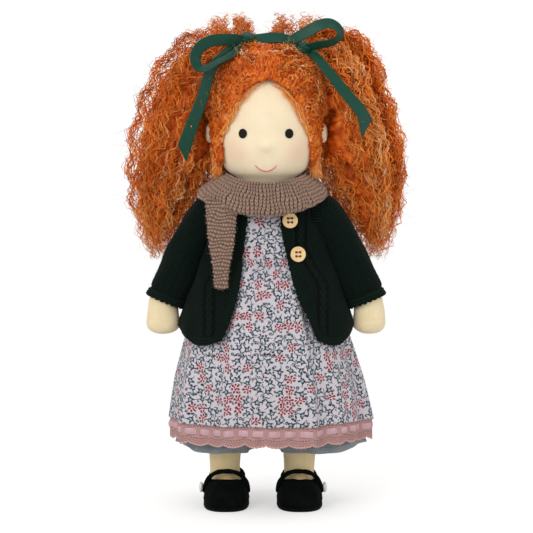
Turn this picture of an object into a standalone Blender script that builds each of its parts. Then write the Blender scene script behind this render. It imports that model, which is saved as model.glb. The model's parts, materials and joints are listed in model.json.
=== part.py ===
# A standing rag doll of the Waldorf kind, in metres, +Z up. The doll faces -Y, and its own left side is at +X.
# The origin is on the floor under the middle of the neck. Each sewn or knitted piece is its own solid.

import bmesh
import bpy
import math
from mathutils import Matrix, Vector

# Legs and feet
HIP_HEIGHT = 0.0800
HIP_HALF_SPACING = 0.0160
STANCE_HALF_WIDTH = 0.0238
STANCE_SHIFT = -0.0020
LEG_RADIUS = 0.0110
LEG_SETBACK = 0.0005
LEG_SHARES = [
    (-0.141, 0.12), (-0.130, 0.42), (-0.095, 0.75), (-0.050, 0.94), (0.000, 1.00), (0.250, 0.98), (0.500, 0.96),
    (0.720, 0.96), (0.880, 0.94), (1.000, 0.88),
]

# Torso, with its sections as shares of its height, half width and half depth
TORSO_BASE_RISE = 0.0060
TORSO_HEIGHT = 0.1150
TORSO_HALF_WIDTH = 0.0300
TORSO_HALF_DEPTH = 0.0210
BODY_FULLNESS = 2.6
TORSO_SHARES = [
    (0.000, 0.70, 0.66), (0.030, 0.92, 0.86), (0.090, 1.00, 0.98), (0.210, 1.00, 1.00), (0.430, 0.95, 0.95),
    (0.690, 0.97, 0.93), (0.860, 1.00, 0.86), (0.940, 0.97, 0.76), (0.978, 0.84, 0.64), (0.995, 0.58, 0.60),
    (1.000, 0.42, 0.57),
]

UPPER_SHARES = (0.69, 0.78, 0.86, 0.90, 0.94, 0.978)

# Arms and hands
SHOULDER_DROP = 0.0120
ARM_RADIUS = 0.0094
ARM_STUB_RADIUS = 0.0070
ARM_SHARES = (0.50, 0.86, 0.98, 1.00, 1.00, 0.98, 0.95, 0.92)
HAND_DRIFT_SHARE = 0.06
HAND_LENGTH = 0.0220
HAND_HALF_WIDTH = 0.0102
HAND_HALF_DEPTH = 0.0078
HAND_SHARES = [(0.30, 0.94, 1.08), (0.58, 1.00, 1.00), (0.82, 0.84, 0.84), (0.95, 0.50, 0.52), (1.00, 0.20, 0.20)]

# Head and face
NECK_RADIUS = 0.0125
HEAD_CENTRE_RISE = 0.0500
HEAD_HALF_WIDTH = 0.0338
HEAD_HALF_DEPTH = 0.0330
HEAD_HALF_HEIGHT = 0.0402
NOSE_RADIUS = 0.0040
NOSE_DROP = 0.0180
EAR_HALF_HEIGHT = 0.0062
EAR_HALF_DEPTH = 0.0048
EAR_HALF_THICKNESS = 0.0034
EAR_DROP = 0.0090
EYE_HALF_WIDTH = 0.00235
EYE_HALF_HEIGHT = 0.00275
EYE_HALF_THICKNESS = 0.0009
EYE_SPACING = 0.0146
EYE_DROP = 0.0097
MOUTH_HALF_WIDTH = 0.0068
MOUTH_DROP = 0.0300
MOUTH_SAG = 0.0037
MOUTH_THREAD_RADIUS = 0.0006

# Hair, with each bunch's sections as shares of its length, reach and depth
CAP_SIDE_THICKNESS = 0.0040
CAP_CROWN_THICKNESS = 0.0085
CAP_NAPE_DROP = 0.0310
CAP_FULLNESS = 2.6
FACE_OPENING_HEIGHT = 0.0560
FACE_OPENING_HALF_WIDTH = 0.0287
FACE_OPENING_SHARES = [
    (0.00, 0.80), (0.14, 0.93), (0.30, 1.00), (0.45, 0.95), (0.60, 0.84), (0.76, 0.68), (0.90, 0.46), (1.00, 0.08),
]
FACE_OPENING_BACK = 0.0070
TIE_RADIUS = 0.0070
TIE_CORD_RADIUS = 0.0013
TIE_RISE = 0.0300
TIE_SPREAD = 0.0310
BUNCH_LENGTH = 0.1640
BUNCH_REACH = 0.0950
BUNCH_DEPTH = 0.0400
BUNCH_RISE = 0.0680
LOCK_DEPTH = 0.0032
LOCK_COUNT = 7
BUNCH_SHARES = [
    (0.000, 0.73, 0.85, 0.72, 0.30), (0.060, 0.66, 0.90, 0.72, 0.52), (0.140, 0.56, 0.945, 0.72, 0.64),
    (0.230, 0.46, 0.975, 0.68, 0.70), (0.330, 0.38, 1.00, 0.52, 0.80), (0.440, 0.33, 1.00, 0.25, 1.12),
    (0.550, 0.30, 0.99, 0.17, 1.24), (0.660, 0.28, 0.95, 0.16, 1.26), (0.760, 0.20, 0.90, 0.25, 1.00),
    (0.850, 0.10, 0.82, 0.34, 0.84), (0.920, 0.05, 0.68, 0.36, 0.72), (0.970, 0.06, 0.54, 0.36, 0.56),
    (1.000, 0.14, 0.40, 0.36, 0.30),
]

# Satin ribbon in the hair
RIBBON_WIDTH = 0.0066
RIBBON_THICKNESS = 0.0006
KNOT_HALF_WIDTH = 0.0050
KNOT_HALF_HEIGHT = 0.0044
KNOT_FORWARD = 0.0090
KNOT_BAND_SHARE = 0.55
KNOT_X = {"right": -0.0120, "left": 0.0240}
LOOP_LENGTH = 0.0340
LOOP_SHARES = {
    "right": [
        (0.06, 0.08, 0.06), (0.15, 0.18, 0.09), (0.44, 0.30, 0.14), (0.76, 0.38, 0.07), (0.985, 0.40, -0.10),
        (1.00, 0.40, -0.34), (0.87, 0.42, -0.53), (0.735, 0.42, -0.455), (0.62, 0.40, -0.31), (0.38, 0.32, -0.17),
        (0.16, 0.19, -0.09), (0.06, 0.08, -0.06),
    ],
    "left": [
        (0.02, 0.04, 0.09), (0.05, 0.12, 0.20), (0.18, 0.17, 0.40), (0.38, 0.20, 0.57), (0.58, 0.22, 0.54),
        (0.68, 0.22, 0.40), (0.68, 0.22, 0.22), (0.50, 0.20, 0.09), (0.19, 0.16, 0.03), (0.08, 0.08, 0.03),
    ],
}
RIBBON_TAIL_LENGTH = 0.0800
RIBBON_TAIL_SHARES = {
    "right": [
        (0.04, 0.00, -0.02), (0.10, 0.03, -0.06), (0.19, 0.08, -0.14), (0.29, 0.13, -0.26), (0.36, 0.155, -0.49),
        (0.44, 0.155, -0.70), (0.52, 0.12, -0.92),
    ],
    "left": [
        (0.04, 0.00, -0.02), (0.08, 0.04, -0.05), (0.17, 0.115, -0.16), (0.32, 0.155, -0.35), (0.46, 0.170, -0.52),
        (0.50, 0.170, -0.65),
    ],
}

# Dress, with its skirt's sections as shares of its length and hem
CLOTH_THICKNESS = 0.0010
CLOTH_EASE = 0.0005
WAIST_RISE = 0.0750
SKIRT_LENGTH = 0.1040
HEM_HALF_WIDTH = 0.0665
HEM_HALF_DEPTH = 0.0500
FOLD_DEPTH = 0.0018
FOLD_COUNT = 13
SKIRT_SHARES = [
    (0.00, 0.463, 0.43), (0.06, 0.500, 0.49), (0.14, 0.580, 0.60), (0.24, 0.655, 0.69), (0.36, 0.725, 0.76),
    (0.52, 0.815, 0.85), (0.75, 0.920, 0.94), (1.00, 1.000, 1.00),
]
LACE_HEIGHT = 0.0112
LACE_OVERLAP = 0.0020
LACE_THICKNESS = 0.0008
SCALLOP_DEPTH = 0.0022
SCALLOP_COUNT = 28
LACE_RIBBON_WIDTH = 0.0034
LACE_RIBBON_THICKNESS = 0.0006
LACE_RIBBON_DROP = 0.0028

# Bloomers
BLOOMERS_WAIST_HEIGHT = 0.0300
BLOOMERS_LENGTH = 0.0480
BLOOMERS_SHARES = [(0.0, 0.0), (0.12, 0.18), (0.3, 0.42), (0.6, 0.78), (1.0, 1.0)]
BLOOMERS_HEM_HALF_WIDTH = 0.0255
BLOOMERS_HEM_HALF_DEPTH = 0.0280
BLOOMERS_HEM_SPREAD = 0.0330
BLOOMERS_HEM_SHIFT = 0.0015

# Cardigan, with its front edges as shares of the hem's half width
KNIT_THICKNESS = 0.0018
KNIT_EASE = 0.0005
CARDIGAN_BACK_LENGTH = 0.0800
CARDIGAN_CORNER_DROP = 0.0115
CARDIGAN_FRONT_REACH = 0.0480
SKIRT_ROWS = 4
CORNER_SHARES = [(0.0, 0.0), (0.3, 0.45), (0.65, 1.0), (0.85, 0.95), (1.0, 0.6)]
RIGHT_EDGE_SHARES = [(0.0, 0.62), (0.15, 0.52), (0.36, 0.38), (1.0, 0.30)]
LEFT_EDGE_SHARES = [(0.0, 0.70), (0.12, 0.63), (0.32, 0.46), (0.52, 0.36), (0.76, 0.29), (1.0, 0.26)]
ARMHOLE_RADIUS = 0.0140
SLEEVE_DROP = 0.0565
SLEEVE_SPLAY = 0.0327
CUFF_TILT = math.radians(23)
SLEEVE_SHARES = [
    (0.000, 0.000, 1.00, 0.00), (0.136, 0.037, 1.04, 0.22), (0.250, 0.115, 1.00, 0.41), (0.382, 0.252, 0.95, 0.66),
    (0.532, 0.4425, 0.94, 0.89), (0.700, 0.655, 0.935, 1.03), (0.855, 0.836, 0.90, 1.07), (0.955, 0.950, 0.84, 1.02),
    (0.965, 0.960, 0.90, 1.02), (1.000, 1.000, 0.88, 1.00),
]
BUTTON_RADIUS = 0.0050
BUTTON_THICKNESS = 0.0022
BUTTON_HOLE_RADIUS = 0.0008
BUTTON_HOLE_SPACING = 0.0013
BUTTON_DISH_RADIUS = 0.0034
BUTTON_DISH_DEPTH = 0.0004
BUTTON_THREAD_RADIUS = 0.0004
BUTTON_X = 0.0148
BUTTON_LOWER_X = 0.0194
BUTTON_SEAT = 0.0012
BUTTON_PITCH = 0.0212
BUTTON_TOP_DROP = 0.0035

# Scarf
SCARF_TUBE_HALF = 0.0042
SCARF_TOP_RADIUS = 0.0245
SCARF_RIM_RISE = 0.0155
SCARF_FRONT_DIP = 0.0065
SCARF_SIDE_REACH = 0.0400
SCARF_FRONT_REACH = 0.0330
SCARF_SIDE_HEIGHT = 0.0085
SCARF_FRONT_HEIGHT = 0.0190
TAIL_THICKNESS = 0.0030
TAIL_LENGTH = 0.0545
TAIL_TOP_WIDTH = 0.0220
TAIL_TIP_WIDTH = 0.0105
TAIL_X = -0.0285
TAIL_Y = -0.0262
TAIL_SLANT = 0.0075
TAIL_TOP_HEIGHT = 0.1975
TAIL_EDGE_TILT = math.radians(22)
TAIL_HINGE_DROP = 0.0015

# Shoes, with the upper's sections as shares of its length, half width and heel height
SOLE_THICKNESS = 0.0024
SOLE_RIM = 0.0005
SHOE_LENGTH = 0.0480
SHOE_HEEL_REACH = 0.0145
SHOE_HALF_WIDTH = 0.0148
SHOE_HEEL_HEIGHT = 0.0215
SHOE_WALL = 0.0016
SHOE_FULLNESS = 2.5
SHOE_SHARES = [
    (0.000, 0.26, 0.34), (0.030, 0.58, 0.52), (0.100, 0.84, 0.70), (0.220, 0.99, 0.83), (0.400, 1.00, 0.90),
    (0.580, 0.94, 0.96), (0.750, 0.86, 1.00), (0.890, 0.76, 1.01), (0.970, 0.56, 0.98), (1.000, 0.30, 0.92),
]
OPENING_HALF_WIDTH_SHARE = 0.76
OPENING_FRONT_SHARE = 0.30
OPENING_BACK_SHARE = 0.95
OPENING_LIP_SHARE = 0.40
STRAP_WIDTH = 0.0050
STRAP_THICKNESS = 0.0020
STRAP_POINTS = 15
STRAP_END = 1
PEARL_SEAT = 0.0001
STRAP_STATION_SHARE = 0.42
PEARL_RADIUS = 0.0034
PEARL_THICKNESS = 0.0026

# Clearances: what is left between two pieces that touch, and how far a cutter runs past what it cuts
GAP = 0.0003
OVERRUN = 0.0050
SMALL_TURN = math.radians(2)

TORSO_BASE = HIP_HEIGHT + TORSO_BASE_RISE
NECK_SEAT = TORSO_BASE + TORSO_HEIGHT
WAIST = TORSO_BASE + WAIST_RISE
HEM = WAIST - SKIRT_LENGTH
SHOULDER_HEIGHT = NECK_SEAT - SHOULDER_DROP
HEAD_CENTRE = NECK_SEAT + HEAD_CENTRE_RISE
BODICE_GROWTH = CLOTH_EASE + CLOTH_THICKNESS
CARDIGAN_INSIDE = BODICE_GROWTH + KNIT_EASE
CARDIGAN_OUTSIDE = CARDIGAN_INSIDE + KNIT_THICKNESS
ARMHOLE_X = TORSO_HALF_WIDTH + CARDIGAN_OUTSIDE + GAP
UPPER_LEVELS = [TORSO_BASE + TORSO_HEIGHT * share for share in UPPER_SHARES]
SOLE_TOP = SOLE_THICKNESS + GAP
SCARF_TAIL_HINGE = Vector((TAIL_X, TAIL_Y, TAIL_TOP_HEIGHT - TAIL_HINGE_DROP))
FRONT = Vector((0, -1, 0))
UP = Vector((0, 0, 1))

SIDES = {"right": -1, "left": 1}
STANCE_X = {side: STANCE_SHIFT + sign * STANCE_HALF_WIDTH for side, sign in SIDES.items()}

for old in list(bpy.data.objects):
    bpy.data.objects.remove(old, do_unlink=True)
parts = bpy.data.collections.new("waldorf_doll")
cutters = bpy.data.collections.new("cutters")
for collection in (parts, cutters):
    bpy.context.scene.collection.children.link(collection)


# Materials
def material(name, colour, roughness, metallic=0.0):
    made = bpy.data.materials.new(name)
    made.use_nodes = True
    shader = made.node_tree.nodes["Principled BSDF"]
    shader.inputs["Base Color"].default_value = (*colour, 1)
    shader.inputs["Roughness"].default_value = roughness
    shader.inputs["Metallic"].default_value = metallic
    made.diffuse_color = (*colour, 1)
    return made


SKIN = material("cotton_knit_skin", (0.86, 0.72, 0.48), 0.85)
EYE = material("black_embroidery", (0.02, 0.02, 0.02), 0.6)
LIP = material("pink_embroidery", (0.75, 0.25, 0.28), 0.7)
HAIR = material("copper_mohair", (0.62, 0.16, 0.02), 0.7)
ELASTIC = material("brown_elastic", (0.25, 0.07, 0.02), 0.7)
SATIN = material("green_satin", (0.0, 0.09, 0.06), 0.3)
FLORAL = material("floral_cotton", (0.66, 0.64, 0.68), 0.9)
LACE = material("pink_lace", (0.48, 0.24, 0.24), 0.9)
LACE_SATIN = material("pink_satin", (0.62, 0.36, 0.40), 0.4)
LINEN = material("grey_linen", (0.20, 0.23, 0.25), 0.9)
GREEN_KNIT = material("green_knit", (0.003, 0.014, 0.010), 0.95)
TAUPE_KNIT = material("taupe_knit", (0.27, 0.19, 0.16), 0.95)
WOOD = material("pale_wood", (0.72, 0.46, 0.17), 0.6)
THREAD = material("dark_thread", (0.05, 0.04, 0.03), 0.8)
VELVET = material("black_velvet", (0.003, 0.006, 0.005), 0.9)
SOLE = material("black_felt", (0.010, 0.012, 0.012), 0.9)
PEARL = material("white_pearl", (0.85, 0.84, 0.80), 0.25)


# Making objects
def place(name, mesh, finish, collection=parts):
    made = bpy.data.objects.new(name, mesh)
    collection.objects.link(made)
    mesh.materials.clear()
    if finish:
        mesh.materials.append(finish)
        mesh.shade_smooth()
        mesh.set_sharp_from_angle(angle=math.radians(50))
    if collection is cutters:
        made.hide_render = True
        made.display_type = "WIRE"
    return made


def cutter(name, mesh):
    return place(name, mesh, None, cutters)


def finish_mesh(name, work, closed=True):
    if closed:
        bmesh.ops.recalc_face_normals(work, faces=work.faces)
    mesh = bpy.data.meshes.new(name)
    work.to_mesh(mesh)
    work.free()
    return mesh


def loft(name, rings, capped=True, joined=True):
    """A skin through rings of as many points each; joined closes each ring on itself."""
    work = bmesh.new()
    rows = [[work.verts.new(point) for point in ring] for ring in rings]
    count = len(rings[0])
    for lower, upper in zip(rows, rows[1:]):
        for index in range(count if joined else count - 1):
            after = (index + 1) % count
            work.faces.new((lower[index], lower[after], upper[after], upper[index]))
    if capped:
        work.faces.new(rows[0][::-1])
        work.faces.new(rows[-1])
    return finish_mesh(name, work, closed=capped)


def oval(centre, across, along, half_across, half_along, count, power=2.0):
    """A ring of points round a centre: an ellipse, or a boxier oval where power is over 2."""
    ring = []
    for index in range(count):
        turn = math.tau * index / count
        c, s = math.cos(turn), math.sin(turn)
        swell = (abs(c) ** power + abs(s) ** power) ** (-1 / power)
        ring.append(Vector(centre) + across * (half_across * c * swell) + along * (half_along * s * swell))
    return ring


def level_oval(x, y, z, half_width, half_depth, count, power=2.0):
    return oval((x, y, z), Vector((1, 0, 0)), Vector((0, 1, 0)), half_width, half_depth, count, power)


def ball(name, centre, half_width, half_depth, half_height, around=20, rows=12, power=2.0):
    """A sphere scaled to three half sizes, with fuller shoulders where power is over 2."""
    work = bmesh.new()
    bmesh.ops.create_uvsphere(work, u_segments=around, v_segments=rows, radius=1)
    for vert in work.verts:
        level = math.hypot(vert.co.x, vert.co.y)
        swell = (level**power + abs(vert.co.z) ** power) ** (-1 / power)
        vert.co = Vector(centre) + swell * Vector(
            (vert.co.x * half_width, vert.co.y * half_depth, vert.co.z * half_height)
        )
    return finish_mesh(name, work)


def rod(name, start, end, radius, sides=16):
    """A plain cylinder from one point to another."""
    start, end = Vector(start), Vector(end)
    work = bmesh.new()
    bmesh.ops.create_cone(
        work, cap_ends=True, segments=sides, radius1=radius, radius2=radius, depth=(end - start).length
    )
    turn = (end - start).to_track_quat("Z", "Y").to_matrix().to_4x4()
    bmesh.ops.transform(work, matrix=Matrix.Translation((start + end) / 2) @ turn, verts=work.verts)
    return finish_mesh(name, work)


def block(name, low, high):
    work = bmesh.new()
    bmesh.ops.create_cube(work, size=1)
    low, high = Vector(low), Vector(high)
    for vert in work.verts:
        vert.co = Vector((low[k] + (high[k] - low[k]) * (vert.co[k] + 1 / 2)) for k in range(3))
    return finish_mesh(name, work)


def boolean(target, tool, operation="DIFFERENCE"):
    made = target.modifiers.new(tool.name, "BOOLEAN")
    made.operation = operation
    made.object = tool
    made.solver = "EXACT"


def read_table(table, share, column=1):
    """The value at a share of the way along a table of rising shares."""
    if share <= table[0][0]:
        return table[0][column]
    for before, after in zip(table, table[1:]):
        if share <= after[0]:
            part = (share - before[0]) / (after[0] - before[0])
            return before[column] + (after[column] - before[column]) * part
    return table[-1][column]


def torso_section(z, growth=0.0):
    """Half width, half depth and height of the torso's skin at a height, moved out by a growth along its normal."""
    def half_sizes(height):
        share = (height - TORSO_BASE) / TORSO_HEIGHT
        return (
            TORSO_HALF_WIDTH * read_table(TORSO_SHARES, share, 1),
            TORSO_HALF_DEPTH * read_table(TORSO_SHARES, share, 2),
        )
    step = TORSO_HEIGHT / 100
    above, below = half_sizes(z + step), half_sizes(z - step)
    slope = (above[0] - below[0]) / (2 * step)
    normal = Vector((1, -slope)).normalized()
    width, depth = half_sizes(z)
    return width + growth * normal.x, depth + growth * normal.x, z + growth * normal.y


def torso_ring(z, growth=0.0, count=24, power=BODY_FULLNESS):
    width, depth, height = torso_section(z, growth)
    return level_oval(0, 0, height, width, depth, count, power)


def skirt_section(z):
    share = (WAIST - z) / SKIRT_LENGTH
    return HEM_HALF_WIDTH * read_table(SKIRT_SHARES, share, 1), HEM_HALF_DEPTH * read_table(SKIRT_SHARES, share, 2)


def fullness(z):
    """How boxy the sections are: the body's fullness above the waist, a plain oval a quarter of the way down."""
    share = min(max((WAIST - z) / SKIRT_LENGTH, 0), 1)
    return BODY_FULLNESS + (2 - BODY_FULLNESS) * min(share * 4, 1)


def skirt_ring(z, inset=0.0, count=FOLD_COUNT * 4, folds=True):
    width, depth = skirt_section(z)
    share = min(max((WAIST - z) / SKIRT_LENGTH, 0), 1)
    power = fullness(z)
    ring = []
    for index in range(count):
        turn = math.tau * index / count
        c, s = math.cos(turn), math.sin(turn)
        swell = (abs(c) ** power + abs(s) ** power) ** (-1 / power)
        fold = FOLD_DEPTH * (0.25 + 0.75 * share) * math.cos(FOLD_COUNT * turn) if folds else 0
        ring.append(Vector(((width + fold - inset) * c * swell, (depth + fold - inset) * s * swell, z)))
    return ring


def cardigan_section(z, growth):
    """The body that the cardigan goes over: the bodice down to the waist, then the gathered skirt."""
    if z > WAIST:
        return torso_section(z, growth)
    width, depth = skirt_section(z)
    share = (WAIST - z) / SKIRT_LENGTH
    spread = growth - BODICE_GROWTH + FOLD_DEPTH * min(0.4 + share * 5, 1)
    return width + spread, depth + spread, z


def head_section(z, growth=0.0):
    share = (z - HEAD_CENTRE) / (HEAD_HALF_HEIGHT + growth)
    power = 2.2
    level = max(1 - abs(share) ** power, 0) ** (1 / power)
    return (HEAD_HALF_WIDTH + growth) * level, (HEAD_HALF_DEPTH + growth) * level


def head_front(x, z, growth=0.0):
    width, depth = head_section(z, growth)
    return -depth * math.sqrt(max(1 - (x / width) ** 2, 0))


def head_ball(name, growth=0.0, around=22, rows=14):
    return ball(
        name, (0, 0, HEAD_CENTRE), HEAD_HALF_WIDTH + growth, HEAD_HALF_DEPTH + growth, HEAD_HALF_HEIGHT + growth,
        around, rows, 2.2,
    )


head_room = cutter("head_room", head_ball("head_room", GAP))


# Head, with its neck and the bead of the nose under the skin
def make_head():
    head = place("head", head_ball("head"), SKIN)
    neck_seat = NECK_SEAT + GAP
    neck = cutter("neck", rod("neck", (0, 0, neck_seat), (0, 0, HEAD_CENTRE - HEAD_HALF_HEIGHT / 2), NECK_RADIUS, 20))
    boolean(head, neck, "UNION")
    nose_z = HEAD_CENTRE - NOSE_DROP
    nose_y = head_front(0, nose_z) + NOSE_RADIUS / 4
    nose = cutter("nose", ball("nose", (0, nose_y, nose_z), NOSE_RADIUS, NOSE_RADIUS, NOSE_RADIUS * 0.8, 12, 8))
    boolean(head, nose, "UNION")
    return head


def make_face():
    for side, sign in SIDES.items():
        x, z = sign * EYE_SPACING, HEAD_CENTRE - EYE_DROP
        y = head_front(x, z)
        shape = ball(f"eye_{side}", (0, 0, 0), EYE_HALF_WIDTH, EYE_HALF_THICKNESS, EYE_HALF_HEIGHT, 12, 6)
        turn = math.atan2(x / HEAD_HALF_WIDTH**2, -y / HEAD_HALF_DEPTH**2)
        shape.transform(Matrix.Translation((x, y, z)) @ Matrix.Rotation(turn, 4, "Z"))
        boolean(place(f"eye_{side}", shape, EYE), head_room)
        ear_x = sign * (HEAD_HALF_WIDTH + EAR_HALF_THICKNESS / 3)
        ear = ball(
            f"ear_{side}", (ear_x, 0, HEAD_CENTRE - EAR_DROP),
            EAR_HALF_THICKNESS, EAR_HALF_DEPTH, EAR_HALF_HEIGHT, 12, 6,
        )
        boolean(place(f"ear_{side}", ear, SKIN), head_room)
    stations = []
    for index in range(11):
        share = index / 5 - 1
        x, z = MOUTH_HALF_WIDTH * share, HEAD_CENTRE - MOUTH_DROP - MOUTH_SAG * (1 - share**2)
        stations.append((x, head_front(x, z, GAP + MOUTH_THREAD_RADIUS), z))
    rings = []
    for before, here, after in zip([stations[0], *stations], stations, [*stations[1:], stations[-1]]):
        along = (Vector(after) - Vector(before)).normalized()
        side_way = along.cross(FRONT).normalized()
        rings.append(oval(here, side_way, side_way.cross(along), MOUTH_THREAD_RADIUS, MOUTH_THREAD_RADIUS, 6))
    place("mouth", loft("mouth", rings), LIP)


# Hair: the cap over the skull, two ties and two curly bunches
def cap_ball(name, growth=0.0):
    side = CAP_SIDE_THICKNESS + growth
    return ball(
        name, (0, 0, HEAD_CENTRE), HEAD_HALF_WIDTH + side, HEAD_HALF_DEPTH + side,
        HEAD_HALF_HEIGHT + CAP_CROWN_THICKNESS + growth, 22, 12, CAP_FULLNESS,
    )


def make_hair_cap():
    cap = place("hair_cap", cap_ball("hair_cap"), HAIR)
    boolean(cap, head_room)
    bottom = HEAD_CENTRE - CAP_NAPE_DROP
    outline = []
    for sign, table in ((1, FACE_OPENING_SHARES), (-1, FACE_OPENING_SHARES[::-1])):
        for height_share, width_share in table:
            outline.append((
                sign * FACE_OPENING_HALF_WIDTH * width_share,
                bottom - OVERRUN + (FACE_OPENING_HEIGHT + OVERRUN) * height_share,
            ))
    reach = HEAD_HALF_DEPTH + CAP_SIDE_THICKNESS + OVERRUN
    rings = [[Vector((x, y, z)) for x, z in outline] for y in (-reach, -FACE_OPENING_BACK)]
    boolean(cap, cutter("face_opening", loft("face_opening", rings)))
    low = (-reach * 2, -reach * 2, HEAD_CENTRE - HEAD_HALF_HEIGHT * 2)
    boolean(cap, cutter("nape_line", block("nape_line", low, (reach * 2, reach * 2, bottom))))
    for side, sign in SIDES.items():
        ear_x = sign * (HEAD_HALF_WIDTH + EAR_HALF_THICKNESS / 3)
        room = ball(
            f"ear_room_{side}", (ear_x, 0, HEAD_CENTRE - EAR_DROP),
            EAR_HALF_THICKNESS * 2, EAR_HALF_DEPTH + GAP, EAR_HALF_HEIGHT + GAP, 14, 8,
        )
        boolean(cap, cutter(f"ear_room_{side}", room))
    return cap


def cap_height(x, y):
    """How high the cap's surface is over a point."""
    level = math.hypot(x / (HEAD_HALF_WIDTH + CAP_SIDE_THICKNESS), y / (HEAD_HALF_DEPTH + CAP_SIDE_THICKNESS))
    rise = (1 - level**CAP_FULLNESS) ** (1 / CAP_FULLNESS)
    return HEAD_CENTRE + (HEAD_HALF_HEIGHT + CAP_CROWN_THICKNESS) * rise


def bunch_mesh(side, sign):
    bottom = HEAD_CENTRE + BUNCH_RISE - BUNCH_LENGTH
    count = LOCK_COUNT * 4
    rings = []
    for share, inner, outer, back, deep in BUNCH_SHARES:
        middle, half = (inner + outer) / 2 * BUNCH_REACH, (outer - inner) / 2 * BUNCH_REACH
        ring = []
        for index in range(count):
            turn = math.tau * index / count
            lock = LOCK_DEPTH * min(deep, 1) * math.cos(LOCK_COUNT * turn + 5 * math.tau * share)
            x = middle + (half + lock) * math.cos(turn)
            y = back * BUNCH_DEPTH + (deep * BUNCH_DEPTH / 2 + lock) * math.sin(turn)
            ring.append(Vector((sign * x, y, bottom + BUNCH_LENGTH * share)))
        rings.append(ring)
    return loft(f"hair_bunch_{side}", rings)


def tie_mesh(name, sign, growth=0.0):
    bpy.ops.mesh.primitive_torus_add(
        major_radius=TIE_RADIUS, minor_radius=TIE_CORD_RADIUS + growth, major_segments=16, minor_segments=5,
    )
    made = bpy.context.object
    mesh = made.data
    bpy.data.objects.remove(made)
    mesh.name = name
    mesh.transform(
        Matrix.Translation((sign * TIE_SPREAD, 0, HEAD_CENTRE + TIE_RISE)) @ Matrix.Rotation(math.pi / 2, 4, "Y")
    )
    return mesh


def make_bunches(cap, rooms):
    for side, sign in SIDES.items():
        place(f"hair_tie_{side}", tie_mesh(f"hair_tie_{side}", sign), ELASTIC)
        tie_room = cutter(f"tie_room_{side}", tie_mesh(f"tie_room_{side}", sign, GAP))
        boolean(cap, tie_room)
        bunch = place(f"hair_bunch_{side}", bunch_mesh(side, sign), HAIR)
        for room in (tie_room, cap_room, bpy.data.objects[f"ear_room_{side}"], *rooms):
            boolean(bunch, room)


# Ribbon: a band over the crown, and at each end a knot, a loop and a tail
def strip(name, centres, width, twist, finish, thickness=RIBBON_THICKNESS):
    """A flat band along a list of points; twist turns its width from the depth towards the front view."""
    rings = []
    for before, here, after in zip([centres[0], *centres], centres, [*centres[1:], centres[-1]]):
        along = (Vector(after) - Vector(before)).normalized()
        flat = along.cross(FRONT).normalized()
        across = (FRONT * math.cos(twist) + flat * math.sin(twist)).normalized()
        normal = along.cross(across).normalized()
        a, n = across * width / 2, normal * thickness / 2
        rings.append([Vector(here) + a + n, Vector(here) - a + n, Vector(here) - a - n, Vector(here) + a - n])
    return place(name, loft(name, rings), finish)


def make_ribbon():
    knots = {}
    for side, x in KNOT_X.items():
        knots[side] = Vector((x, -KNOT_FORWARD, cap_height(x, -KNOT_FORWARD) + KNOT_HALF_HEIGHT + GAP))
        sizes = (KNOT_HALF_WIDTH, KNOT_HALF_WIDTH, KNOT_HALF_HEIGHT)
        knot = place(f"bow_knot_{side}", ball(f"bow_knot_{side}", knots[side], *sizes, 12, 6, 2.6), SATIN)
        boolean(knot, cap_room)
        grown = [size + GAP for size in sizes]
        cutter(f"knot_room_{side}", ball(f"knot_room_{side}", knots[side], *grown, 12, 6, 2.6))
    lift = GAP + RIBBON_THICKNESS
    span = knots["left"].x - knots["right"].x
    y = -KNOT_FORWARD * KNOT_BAND_SHARE
    centres = []
    for index in range(11):
        x = knots["right"].x + span * index / 10
        centres.append((x, y, cap_height(x, y) + lift))
    band = strip("ribbon_band", centres, RIBBON_WIDTH, 0, SATIN)
    boolean(band, cap_room)
    for side, sign in SIDES.items():
        room = bpy.data.objects[f"knot_room_{side}"]
        boolean(band, room)
        loop = [knots[side] + Vector((sign * dx, -dy, dz)) * LOOP_LENGTH for dx, dy, dz in LOOP_SHARES[side]]
        tail = [
            knots[side] + Vector((sign * dx, -dy, dz)) * RIBBON_TAIL_LENGTH
            for dx, dy, dz in RIBBON_TAIL_SHARES[side]
        ]
        for name, centres, twist in (("bow_loop", loop, math.radians(35)), ("bow_tail", tail, math.radians(65))):
            made = strip(f"{name}_{side}", centres, RIBBON_WIDTH, twist, SATIN)
            boolean(made, room)
            boolean(made, cap_room)


# Torso, with two hollows under it where the thighs turn
def make_torso():
    rings = []
    for share, _, _ in TORSO_SHARES:
        width, depth, z = torso_section(TORSO_BASE + TORSO_HEIGHT * share)
        rings.append(level_oval(0, 0, z, width, depth, 24, BODY_FULLNESS))
    torso = place("torso", loft("torso", rings), SKIN)
    for side, sign in SIDES.items():
        x = sign * HIP_HALF_SPACING
        radius = LEG_RADIUS + GAP
        hollow = ball(f"hip_hollow_{side}", (x, 0, HIP_HEIGHT), radius, radius, radius, 16, 10)
        boolean(torso, cutter(f"hip_hollow_{side}", hollow))
        reach = TORSO_HALF_DEPTH + OVERRUN
        swing = rod(f"thigh_swing_{side}", (x, 0, HIP_HEIGHT), (x, -reach, HIP_HEIGHT), radius, 16)
        boolean(torso, cutter(f"thigh_swing_{side}", swing))


# Arms, which the sleeves go over
def sleeve_station(sign, row):
    out, drop, _, turn = row
    centre = Vector((sign * (ARMHOLE_X + SLEEVE_SPLAY * out), 0, SHOULDER_HEIGHT - SLEEVE_DROP * drop))
    tilt = math.pi / 2 - turn * (math.pi / 2 - CUFF_TILT)
    return centre, Vector((sign * math.cos(tilt), 0, math.sin(tilt)))


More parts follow.
